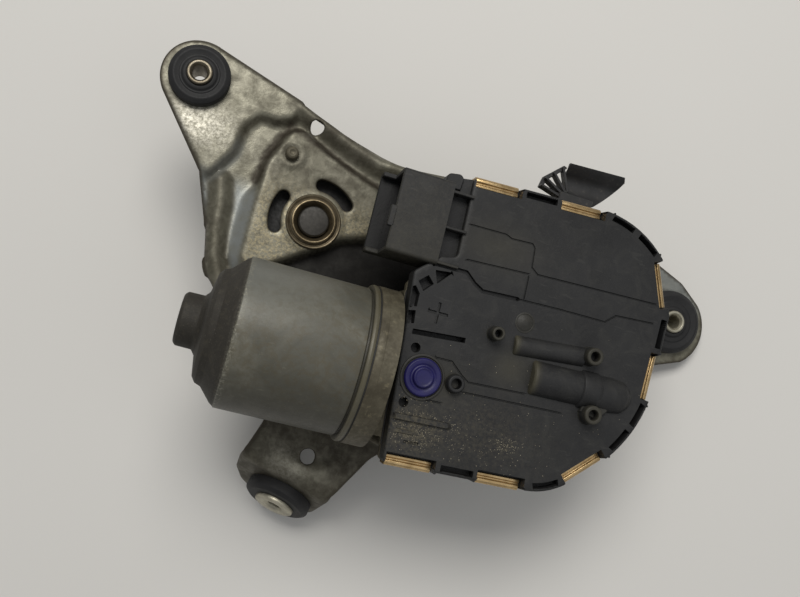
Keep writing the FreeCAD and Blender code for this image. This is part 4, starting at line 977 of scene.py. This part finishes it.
def can():
    profile = [
        (0, -43.9), (9.6, -43.9, 1.6), (10.9, -42.6, 1.0), (11, -36.2, 0.8), (13.0, -34.6, 1.0),
        (21.0, -33.2, 1.2),
        (23.2, -31.6, 0.8), (24.2, -29.0, 0.5), (29.6, -24.0, 0.7), (30.4, -22.8, 0.3), (30.95, -22.3, 0.25),
        (31, -20), (31, 26.0, 0.3), (30.3, 26.5), (30.3, 27.1), (32.6, 27.2, 0.3), (32.95, 28.2, 0.5),
        (32.7, 29.35, 0.3), (29.1, 29.35), (29.1, -21.4), (22.4, -29.5), (20, -31), (9, -33.4), (9, -41.9),
        (0, -41.9),
    ]
    shell = lathe(profile, 160, 0.6, origin=CAN_AT, z_axis=(1, 0, 0), x_axis=(0, 0, -1))
    shells = [shell]
    for down, across in ((24.5, 26), (24.5, -26)):
        base = (0, CAN_AT[1] + across, CAN_AT[2] - down)
        lug = [(2.2, 27.6), (5.3, 27.6, 0.3), (5.3, 29.35, 0.3), (2.2, 29.35)]
        shells.append(lathe(lug, 40, 0.4, origin=base, z_axis=(1, 0, 0), x_axis=(0, 0, -1)))

    def marks(cloud):
        x = cloud[:, 0]
        around = np.arctan2(cloud[:, 1] - CAN_AT[1], cloud[:, 2] - CAN_AT[2])
        radius = np.hypot(cloud[:, 1] - CAN_AT[1], cloud[:, 2] - CAN_AT[2])
        return {
            "nose": 1 - smooth_step(x, -22.9, -22.5),
            "chips": np.exp(-(((x + 22.2) / 0.55) ** 2)) * 0.9,
            "stain": 0.35 + 0.65 * np.exp(-(((x - 6) / 20) ** 2 + ((around + 0.1) / 0.8) ** 2)),
            # painted shade on the lower side of the can
            "low": smooth_step(-around, 0.15, 1.15) * (x > -22.4),
            # painted highlight on the upper left of the can
            "pale": smooth_step(around, -0.1, 0.9) * (1 - smooth_step(x, -18, 4)) * (x > -22.4),
            "seam": np.exp(-(((x - 26.8) / 0.5) ** 2)) * (radius > 29.5) * (radius < 31.5),
            "flange": smooth_step(x, 27, 27.4),
        }

    make(
        "motor_shell", shells, FINISH["can_paint"], stands_for=["motor_can"], sharp=38,
        marks=marks
    )


# ------------------------------------------------------------------ gear cover

COVER = [
    (45.5, -93, 2), (105.5, -91.3, 6), (122, -85.5, 4), (138, -71, 4), (151.5, -44, 5), (153, -6, 5),
    (144.5, 17, 6), (116, 30, 5), (55, 27.5, 3), (55.5, -7, 2), (49, -8.5, 2), (39.5, -17, 3),
]
FACE_Z = 106.0
LEDGE_Z = 101.0
SKIRT_Z = 98.0
CLIPS = [(0, 11), (0, 49), (2, 10.8), (4, 10.5), (5, 13.5), (7, 11.9), (7, 50)]
POCKETS = [
    (0, 23.4, 37), (1, 3.5, 14.5), (3, 4, 14.5), (3, 17.5, 27.5), (4, 23, 35.5), (6, 4, 14.5),
    (6, 18, 28.5), (7, 24.2, 38)
]
LEFT_POCKETS = [
    [(42.2, -20.6), (45.6, -17.4), (48.4, -20.2), (45.0, -24.0)],
    [(40.6, -23.2), (41.6, -22.8), (43.7, -25.4), (43.8, -30.6), (41.2, -31.2)],
    [(41.2, -33.0), (43.8, -32.4), (44.3, -37.4), (41.8, -38.0)],
    [(48.0, -14.6), (55.0, -13.8), (49.8, -19.6)],
    [(44.6, -41.6), (66.6, -39.8), (66.5, -37.9), (44.6, -39.6)],
]
WIDE_GROOVE = [(47.4, -12.1), (60.7, -12.0), (65.0, -15.6), (68.9, -17.7), (84.4, -16.9)]
FINE_LINES = [
    [(84.4, -16.9), (103, -16.3), (123.9, -16.2), (128.3, -12.4), (146, -11.2)],
    [
        (58, 7.3), (73.2, 7.6), (76.1, 6.5), (85.3, 7.0), (86.6, 5.5), (87.2, -2.6), (90.4, -4.9),
        (145.6, -2.9)
    ],
    [(59.6, -7.0), (86.7, -5.6)], [(86.7, -6.8), (86.8, -16.0)],
    [(56.5, -48.4), (63.2, -48.3), (68.7, -52.9), (71.7, -54.8), (96, -53.6)],
    [(71.3, -59.1), (113, -57.6)], [(45.7, -62.5), (50.3, -65.7), (62.4, -65.4)],
]


BULGE = {1: 1.3, 3: 2.0, 6: 2.9}


def side_place(side, distance, inward):
    """A point beside one side of the cover; some sides bow outwards."""
    a = np.array(COVER[side][:2], float)
    b = np.array(COVER[side + 1][:2], float)
    along = unit(b - a)
    share = distance / float(np.linalg.norm(b - a))
    inward = inward - BULGE.get(side, 0) * 4 * share * (1 - share)
    return a + along * distance + np.array([-along[1], along[0]]) * inward


def clip_notch(side, distance):
    return np.array([
        side_place(side, distance + d, w) for d, w in ((-10.1, -3), (10.1, -3), (10.1, 4.5), (-10.1, 4.5))
    ])


def pocket(side, start, end):
    run = np.linspace(start, end, 6)
    return np.array([side_place(side, d, 1.2) for d in run] + [side_place(side, d, 3.4) for d in run[::-1]])


def cross_mark(x, y, arm=4.2, half=0.5):
    """The outline of a plus mark."""
    quarter = [(arm, -half), (arm, half), (half, half)]
    turns = [((1, 0), (0, 1)), ((0, -1), (1, 0)), ((-1, 0), (0, -1)), ((0, 1), (-1, 0))]
    return np.array([
        (x + p * a[0] + q * a[1], y + p * b[0] + q * b[1]) for a, b in turns for p, q in quarter
    ])


def cover_face():
    barbs = []
    corners = []
    for side, corner in enumerate(COVER):
        corners.append(corner if side not in (6, 7, 3, 4, 1, 2) else corner[:2] + (1.5,))
        if side in BULGE:
            length = math.dist(COVER[side + 1][:2], corner[:2])
            corners += [tuple(side_place(side, length * t, 0)) for t in (
                0.12, 0.25, 0.375, 0.5, 0.625, 0.75, 0.88
            )]
    outline = rounded(corners, 0.8)
    # pointed barbs stand out beside some of the clips
    for side, distance in ((0, 21.6), (0, 38.2), (3, 1.2), (3, 28.5), (4, 21.2), (6, 2.0), (6, 29.0)):
        tip = side_place(side, distance, -1.1)
        barbs.append(rounded([side_place(side, distance - 1.3, 1.2), tuple(tip) + (0.4,),
                              side_place(side, distance + 1.3, 1.2)], 0.3))
    outline = spaced(outline, 0.9)
    notches = [clip_notch(*c) for c in CLIPS]
    deep = [pocket(*p) for p in POCKETS] + [np.array(p) for p in LEFT_POCKETS]
    round_pockets = [(47.4, -46.6, 1.9), (47.8, -68.4, 1.9)]
    deep += [arc(x, y, r, 0, 350, 0.5) for x, y, r in round_pockets]
    marks_cut = [
        cross_mark(52.9, -31), np.array([(51.5, -83.7), (57.5, -83.4), (57.5, -82.5), (51.5, -82.8)])
    ]
    ridges = [([(46.2, -74.2), (66.8, -73.5)], 1.0, 1.3), ([(47.5, -79.6), (54, -79.4)], 0.6, 0.5)]
    step_edges = []
    for loop in notches + deep + marks_cut:
        dense = spaced(loop, 0.8)
        step_edges += [offset(dense, 0.12), offset(dense, -0.12)]
    for line, half in [(WIDE_GROOVE, 0.75)] + [(f, 0.28) for f in FINE_LINES]:
        dense = spaced(line, 0.8, closed=False)
        step_edges += [offset(dense, s * (half + e), closed=False) for s in (-1, 1) for e in (0.12, -0.12)]
        step_edges.append(dense)
    for line, half, _ in ridges:
        dense = spaced(line, 0.8, closed=False)
        step_edges += [offset(dense, s * w, closed=False) for s in (-1, 1) for w in (half, half + 0.3)]
    step_edges += [offset(outline, 0.35), offset(outline, 0.8)]
    flat, triangles = mesh_over(outline, [], step_edges, 1.7)
    height = np.full(len(flat), FACE_Z)
    rim = depth_in(flat, outline)
    height -= 0.5 * (1 - np.clip(rim / 0.8, 0, 1)) ** 2
    for loop in notches:
        height -= (FACE_Z - LEDGE_Z) * smooth_step(depth_in(flat, loop), -0.12, 0.12)
    sunk = np.zeros(len(flat))
    for loop in deep:
        sunk = np.maximum(sunk, smooth_step(depth_in(flat, loop), -0.12, 0.12))
    height = np.minimum(height, FACE_Z - 4.2 * sunk)
    groove = smooth_step(-gap_to(flat, WIDE_GROOVE), -0.87, -0.63)
    height -= 1.3 * groove
    thin = np.zeros(len(flat))
    for line in FINE_LINES:
        thin = np.maximum(thin, smooth_step(-gap_to(flat, line), -0.4, -0.16))
    height -= 0.45 * thin
    for line in marks_cut:
        height -= 0.9 * smooth_step(depth_in(flat, line), -0.12, 0.12)
    for line, half, rise in ridges:
        height += rise * smooth_step(-gap_to(flat, line), -half - 0.3, -half)
    height = np.maximum(height, LEDGE_Z - 0.2)
    top = np.column_stack([flat, height])
    under = np.column_stack([flat, np.full(len(flat), SKIRT_Z)])
    shell = closed_between(top, under, triangles)
    shells = [shell] + [prism(b, 99.2, 105.6, 0.2) for b in barbs]
    count = len(flat)

    def marks(cloud):
        x, y = cloud[:, 0], cloud[:, 1]
        dust = np.exp(-(((x - 54) / 13) ** 2 + ((y + 78) / 9) ** 2))
        dust = np.maximum(dust, 0.6 * np.exp(-(((x - 92) / 6) ** 2 + ((y + 76) / 5) ** 2)))
        dust = np.maximum(dust, 0.35 * np.exp(-(((x - 80) / 26) ** 2 + ((y + 74) / 14) ** 2)))
        film = 0.35 * np.exp(-(((x - 70) / 16) ** 2 + ((y - 2) / 9) ** 2))
        film = np.maximum(film, 0.5 * np.exp(-(((x - 88) / 8) ** 2 + ((y + 45) / 7) ** 2)))
        film = np.maximum(film, 0.35 * np.exp(-(((x - 62) / 8) ** 2 + ((y + 57) / 8) ** 2)))
        # painted shade: near-black in the pockets, less in the wide groove and fine lines
        painted_deep_shade = np.zeros(len(cloud))
        painted_deep_shade[:count] = np.maximum(0.85 * sunk, np.maximum(0.8 * groove, 0.6 * thin))
        return {"dust": dust, "film": film, "deep": painted_deep_shade}

    make(
        "cover_face", shells, FINISH["cover_plastic"], stands_for=["gear_cover"], sharp=28,
        marks=marks
    )


def no_marks(**values):
    def marks(cloud):
        flat = {"dust": 0.0, "film": 0.0, "deep": 0.0}
        flat.update(values)
        return {k: np.full(len(cloud), v) for k, v in flat.items()}
    return marks


def dome_marks(x_start):
    def marks(cloud):
        end = np.exp(-(((cloud[:, 0] - x_start) / 1.6) ** 2))
        return {"dust": 0.25 * end, "film": 0.95 * end, "deep": np.zeros(len(cloud))}
    return marks


# (x, y, radius, top)
BOSSES = [(77.8, -33.2, 2.9, 112), (125, -55.3, 4, 112), (120.5, -32, 3.8, 112), (66.2, -56.6, 3.7, 109.6)]


def cover_details():
    plastic = FINISH["cover_plastic"]
    start, end = np.array([97, -46.3, 103.5]), np.array([141, -45.3, 103.5])
    along = end - start
    length = float(np.linalg.norm(along))
    large = [
        (0, 0), (6.6, 0.0, 0.5), (7.4, 0.7, 0.5), (7.5, 1.4), (7.5, 2.2), (7.5, 3.6), (7.5, 5), (7.5, 21.6),
        (8.3, 22.2, 0.4), (8.3, 29.0, 0.6),
        (7.7, 30.5, 0.8), (7.7, 36.5, 2.5), (7.0, 41.8, 3), (4.2, 45.2, 2.5), (0, 46.0),
    ]
    make("capacitor_dome", [lathe(large, 96, 0.5, origin=start, z_axis=along, x_axis=(0, 0, -1))],
         plastic, marks=dome_marks(97.4))
    low, far = np.array([87, -35.4, 104.3]), np.array([118, -32.8, 104.3])
    small = [(0, 0), (3.8, 0, 0.3), (4.4, 0.6, 0.3), (4.4, 1.4), (4.4, 2.6), (4.4, 4), (4.4, 31), (0, 31)]
    make("coil_dome", [lathe(small, 72, 0.5, origin=low, z_axis=far - low, x_axis=(0, 0, -1))],
         plastic, marks=dome_marks(87.3))
    shells = []
    for x, y, r, top in BOSSES:
        hole = r * 0.52
        tube = [
            (0, 105), (r + 0.7, 105), (r + 0.2, 106.4, 0.5), (r, 107.5), (r * 0.96, top - 0.5, 0.3),
            (r * 0.85, top, 0.3),
            (hole + 0.2, top, 0.3), (hole, top - 0.7, 0.2), (hole * 0.9, top - 4.4), (0, top - 4.4),
        ]
        shells.append(lathe(tube, 48, 0.3, origin=(x, y, 0)))

    def boss_marks(cloud):
        rim = smooth_step(cloud[:, 2], 109.5, 111.9) * 0.55
        base = (1 - smooth_step(cloud[:, 2], 105.8, 107.0)) * 0.7
        spots = np.array([boss[:2] for boss in BOSSES])
        nearest = np.linalg.norm(cloud[:, None, :2] - spots[None], axis=2).min(axis=1)
        # painted shade: near-black inside the bosses' holes
        pit = (nearest < 2.25) & (cloud[:, 2] < 110.8) & (cloud[:, 2] > 104.9)
        return {"dust": np.zeros(len(cloud)), "film": np.maximum(rim, base), "deep": np.where(pit, 1.0, 0.0)}

    make("test_bosses", shells, plastic, marks=boss_marks)
    # a web joins one boss to the large dome
    web = rounded(
        [(120.5, -55, 0), (121.5, -51.5, 0.6), (133.5, -51.2, 0.8), (130.5, -54.6, 0.8), (128.5, -57)], 0.4
    )
    bump = [
        (0, 105.8), (4.3, 105.8), (4.3, 106.15, 0.1), (3.7, 106.2), (3.5, 106.05), (3.0, 106.3, 0.3),
        (1.2, 106.85, 0.4), (0, 106.95)
    ]
    pad_ring = [(8.0, 105.8), (9.3, 105.8), (9.2, 106.5, 0.3), (8.3, 106.6, 0.3)]
    shells = [prism(web, 105, 108.2, 0.4), lathe(bump, 48, 0.3, origin=(89.6, -25.5, 0)),
              lathe(pad_ring, 72, 0.3, origin=(52.9, -57.3, 0))]
    make("cover_relief", shells, plastic, marks=no_marks(film=0.25))


def socket_shells():
    """The plug socket: a box that is open along -X, with ribs behind its back wall."""
    x0, x1, y0, y1, z0, z1 = 25.6, 47.3, -12.5, 22.0, 86.0, 108.0
    shells = []
    outer = rounded([(y0, z0, 1.5), (y1, z0, 1.5), (y1, z1, 1.6), (y0, z1, 1.6)], 0.4)
    inner = offset(outer, 2)
    count = len(outer)
    rings = []
    for ring, x in (
        (outer, x1), (outer, x0 + 0.4), (offset(outer, 0.3), x0), (offset(inner, -0.3), x0),
        (inner, x0 + 0.4), (inner, x1 - 3.3)
    ):
        rings.append(np.column_stack([np.full(count, x), ring]))
    points = np.concatenate(rings)
    faces = [tuple(range(count)), tuple(range(5 * count, 6 * count))]
    for r in range(5):
        for k in range(count):
            n = (k + 1) % count
            faces.append((r * count + k, r * count + n, (r + 1) * count + n, (r + 1) * count + k))
    shells.append((points, faces))
    shells.append(block((23.9, -2.7, 105.8), (26.5, 5.8, 108), 0.3, 0.25))
    # lower lip of the mouth and its side walls
    shells.append(block((20.2, y0 + 0.2, 86.1), (26.2, y1 - 0.2, 88), 0.5, 0.3))
    shells.append(block((20.2, y0 + 0.1, 86.2), (26.2, y0 + 2, 92), 0.5, 0.3))
    shells.append(block((20.2, y1 - 2, 86.2), (26.2, y1 - 0.1, 92), 0.5, 0.3))
    # low block and ribs between the socket and the cover's face
    shells.append(block((46.8, -11.6, 87), (56.6, 20.6, 102.4), 0.5, 0.3))
    for y in (-11.4, 3.3, 18.2):
        shells.append(block((47.0, y - 0.55, 99), (56.4, y + 0.55, 107.4), 0.2, 0.2))
    shells.append(prism(
        rounded([(43.4, 20, 1), (50.6, 20, 1), (51.2, 27, 2.2), (44, 25.8, 2.2)], 0.4), 90, 104.4, 0.4
    ))
    shells.append(prism(
        rounded([(50.2, 19, 0.5), (56, 19, 0.5), (56, 26.6, 1), (50.4, 25.6, 1)], 0.4), 92, 103, 0.4
    ))
    # guide ribs inside the mouth
    for y in (-4.5, 14):
        shells.append(block((26.4, y - 0.6, 103.6), (43.6, y + 0.6, 106.2), 0.2, 0.2))
    return shells


def socket():
    make("plug_socket", socket_shells(), FINISH["cover_plastic"], sharp=30,
         marks=lambda cloud: {
             "dust": 0.12 * smooth_step(cloud[:, 2], 104, 108),
             "film": 0.35 * (1 - smooth_step(cloud[:, 1], -12.5, -8)),
             # painted shade: near-black inside the mouth, on the lip's floor and on the block behind the back
             # wall
             "deep": 0.9 * (((cloud[:, 2] < 88.4) & (cloud[:,
             0] < 27) & (np.abs(cloud[:, 1] - 4.75) < 16.8)) | ((cloud[:, 2] < 103) & (cloud[:,
             0] > 46)) | (cloud[:, 0] > 27) & (cloud[:, 0] < 45) & (np.abs(cloud[:, 1] - 4.75) < 15.6)
                            & (cloud[:, 2] > 87.5) & (cloud[:, 2] < 106.4)),
         })


def plug():
    profile = [
        (0, 102.6), (5.1, 102.6), (5.1, 106.0), (7.6, 106.0), (7.7, 106.9, 0.4), (7.1, 107.6, 0.4),
        (5.6, 107.4, 0.5),
        (4.9, 107.0, 0.3), (4.3, 107.2, 0.3), (4.1, 108.3, 0.4), (3.6, 108.6, 0.3), (2.9, 108.3, 0.3),
        (0, 108.2),
    ]
    make("vent_cap", [lathe(profile, 96, 0.25, origin=(52.9, -57.3, 0))], FINISH["blue_plastic"],
         stands_for=["vent_plug"])


def clips():
    section = rounded([
        (-3.6, 93.3), (0.1, 93.3, 0.9), (1.0, 94.3, 0.7), (1.0, 100.9, 0.8), (0.2, 101.9, 0.6),
        (-1.0, 102.05, 0.3),
        (-1.45, 101.35, 0.25), (-2.0, 101.35, 0.25), (-2.4, 102.0, 0.3), (-3.3, 101.95, 0.2),
        (-3.65, 101.5, 0.2),
        (-3.5, 101.05), (0.15, 101.05), (0.2, 94.1), (-3.6, 94.1),
    ], 0.25)
    shells = []
    for side, distance in CLIPS:
        a = np.array([*COVER[side][:2], 0], float)
        b = np.array([*COVER[side + 1][:2], 0], float)
        along = unit(b - a)
        shells.append(swept(section, a + along * (distance - 9.5), a + along * (distance + 9.5)))
    make("spring_clips", shells, FINISH["clip_spring"], stands_for=["cover_clips"], sharp=40)


def harness_clip():
    """A trough for the wiring, on a foot with a fan of ribs."""
    rows, columns = 9, 14
    flat, spots = [], []
    for i in range(rows):
        t = i / (rows - 1)
        for j in range(columns):
            s = j / (columns - 1)
            left = np.array([103.5, 36.4]) * (1 - t) + np.array([101.0, 51.6]) * t
            right = np.array([117.5, 36.6]) * (1 - t) + np.array([130.6, 53.0]) * t
            right[0] += 1.6 * math.sin(math.pi * t) - 2.6 * max(0, (t - 0.78) / 0.22) ** 2
            p = left * (1 - s) + right * s
            z = 84.2 - 3.2 * math.sin(math.pi * min(1, t * 1.15)) + 3.4 * max(0, t - 0.72) / 0.28
            spots.append((*p, z))
    top = np.array(spots)
    triangles = []
    for i in range(rows - 1):
        for j in range(columns - 1):
            a = i * columns + j
            triangles += [(a, a + 1, a + columns + 1), (a, a + columns + 1, a + columns)]
    under = top - (0, 0, 1.5)
    shells = [closed_between(top, under, triangles)]
    foot = rounded([(99.3, 26.8, 0.6), (113.8, 27.4, 0.6), (115.6, 38.2, 1), (99.3, 38.2, 1)], 0.4)
    shells.append(prism(foot, 84.1, 87.8, 0.4))
    for k, (x, y) in enumerate(((90.2, 38.6), (91.6, 42.4), (95.2, 45.8), (99.0, 49.4))):
        root = np.array([101.5 + 0.6 * k, 35.6 + 1.2 * k])
        tip = np.array([x, y])
        across = unit(np.array([-(tip - root)[1], (tip - root)[0]])) * 0.7
        blade = [root - across, root + across, tip + across * 0.7, tip - across * 0.7]
        shells.append(prism(np.array(blade), 82.4, 86.8 - 0.3 * k, 0.15))
    rim = rounded(
        [
            (90.0, 38.0, 0.4), (91.2, 43.0, 0.6), (99.6, 50.8, 0.6), (101.6, 50.2, 0.4), (93.0, 42.0, 0.4),
            (91.8, 37.6, 0.4)
        ],
        0.4
    )
    shells.append(prism(rim, 82.4, 84.4, 0.25))
    make(
        "wiring_clip", shells, FINISH["black_plastic"], stands_for=["harness_clip"],
        sharp=40
    )


def housing_details():
    """The alloy edge that shows between the can's flange and the cover."""
    strip = rounded([(38.6, -43, 0.8), (40.6, -43, 0.8), (42.4, -70.5, 0.8), (40.6, -70.5, 0.8)], 0.4)
    shells = [prism(strip, 94, 98.8, 0.5)]
    ring = [
        (31.5, 29.9), (33.0, 30.0, 0.4), (33.1, 33.2, 0.4), (32.2, 34.0, 0.4), (32.9, 34.9, 0.4),
        (32.9, 38.9, 0.4), (31.5, 39)
    ]
    shells.append(lathe(ring, 128, 0.5, origin=CAN_AT, z_axis=(1, 0, 0), x_axis=(0, 0, -1)))
    make("housing_ring", shells, FINISH["cast_alloy"])


def slot_shade_flange():
    """A thin flange behind the curved slots, above the lever, painted near-black as shade so that the slots
    look dark.
    """
    flange = [(11.2, 45.1), (25.5, 45.1, 0.2), (25.5, 45.9, 0.2), (11.2, 45.9)]
    # near-black colour: painted shade seen through the slots
    slot_shade_black = plain_finish(
        "painted_shade_alloy", (0.004, 0.0038, 0.0035), (0.009, 0.008, 0.007), 0.1, (0.5, 0.75), 600
    )
    make("slot_shade_flange", [lathe(flange, 96, 0.5)], slot_shade_black)


def sand():
    """Grains lying on the cover, thickest beside the lower clips."""
    rng = random.Random(11)
    patches = [
        (360, 54, -78, 8.0, 3.6), (110, 56, -73, 7, 1.2), (90, 94, -76, 2.6, 2.2), (170, 76, -79, 18, 6),
        (120, 98, -60, 28, 22),
        (40, 52, -66, 5, 3),
    ]
    points, faces = [], []
    for count, x, y, wide, deep in patches:
        for _ in range(count):
            px, py = rng.gauss(x, wide), rng.gauss(y, deep)
            size = rng.uniform(0.10, 0.27)
            if not inside(np.array([[px, py]]), rounded(COVER, 3))[0] or py < -87 or px < 45.5 or py > -20:
                continue
            base = len(points)
            for dx, dy, dz in ((1, 0, 0), (-1, 0, 0), (0, 1, 0), (0, -1, 0), (0, 0, 1), (0, 0, -1)):
                jitter = rng.uniform(0.6, 1.2)
                points.append((
                    px + dx * size * jitter, py + dy * size * jitter, FACE_Z + 0.05 + dz * size * 0.8
                ))
            for a, b, c in (
                (0, 2, 4), (2, 1, 4), (1, 3, 4), (3, 0, 4), (2, 0, 5), (1, 2, 5), (3, 1, 5), (0, 3, 5)
            ):
                faces.append((base + a, base + b, base + c))
    grit = plain_finish("grit", (0.16, 0.14, 0.10), (0.36, 0.32, 0.24), 0, (0.6, 0.85), 2500)
    make("sand_grains", [(np.array(points), faces)], grit, sharp=20)


# ------------------------------------------------------------------ stage


def look_from(position, right, down, forward):
    camera = bpy.data.cameras.new("camera")
    camera.lens = 36
    camera.sensor_width = 36
    camera.clip_start = 0.01
    camera.clip_end = 20
    thing = bpy.data.objects.new("camera", camera)
    bpy.context.scene.collection.objects.link(thing)
    turn = TO_ROW * 1000
    right, up, back = unit(turn @ np.array(right)), -(turn @ np.array(down)), -(turn @ np.array(forward))
    back = unit(back)
    up = unit(np.cross(back, right))
    right = np.cross(up, back)
    where = TO_ROW @ np.array(position)
    matrix = Matrix.Identity(4)
    for row in range(3):
        for column, part in enumerate((right, up, back, where)):
            matrix[row][column] = part[row]
    thing.matrix_world = matrix
    bpy.context.scene.camera = thing
    return right, up, back


def area_light(name, where, towards, size, power, colour=(1, 1, 1)):
    light = bpy.data.lights.new(name, "AREA")
    light.shape = "RECTANGLE"
    light.size, light.size_y = size
    light.energy = power
    light.color = colour
    thing = bpy.data.objects.new(name, light)
    bpy.context.scene.collection.objects.link(thing)
    thing.location = where
    thing.rotation_euler = (Vector(where) - Vector(towards)).to_track_quat("Z", "Y").to_euler()


def stage():
    right, up, back = look_from(
        (-28.1, -66.7, 412.6), (0.944, 0.2387, 0.228), (0.2589, -0.9639, -0.0626), (0.2048, 0.1181, -0.9717)
    )
    low, high = CAD_BOX
    middle = (Vector(low) + Vector(high)) / 2
    bpy.context.scene.view_settings.view_transform = "Standard"
    size = 3.0
    mesh = bpy.data.meshes.new("floor")
    z = low[2]
    mesh.from_pydata(
        [(-size, -size, z), (size, -size, z), (size, size, z), (-size, size, z)], [], [(0, 1, 2, 3)]
    )
    floor = bpy.data.objects.new("floor", mesh)
    bpy.context.scene.collection.objects.link(floor)
    p = Paint("floor")
    colour = p.blend(p.noise(3, 2), (0.62, 0.605, 0.575), (0.66, 0.645, 0.615))
    mesh.materials.append(p.done(colour, 0.75))
    world = bpy.data.worlds.new("world")
    world.use_nodes = True
    world.node_tree.nodes["Background"].inputs[0].default_value = (0.96, 0.98, 1.0, 1)
    world.node_tree.nodes["Background"].inputs[1].default_value = 0.30
    bpy.context.scene.world = world
    up, right, back = Vector(up), Vector(right), Vector(back)
    top = middle + up * 0.8 + back * 1.1 + right * 0.05
    area_light("key", top, middle, (0.9, 0.6), 13.5, (1, 0.98, 0.94))
    fill = middle + back * 1.0 + right * 0.6 - up * 0.2
    area_light("fill", fill, middle, (1.0, 1.0), 1.6, (0.98, 0.99, 1))


repaint_nodes()
bracket()
mounts()
spindle()
can()
cover_face()
cover_details()
socket()
plug()
clips()
harness_clip()
housing_details()
slot_shade_flange()
sand()
stage()
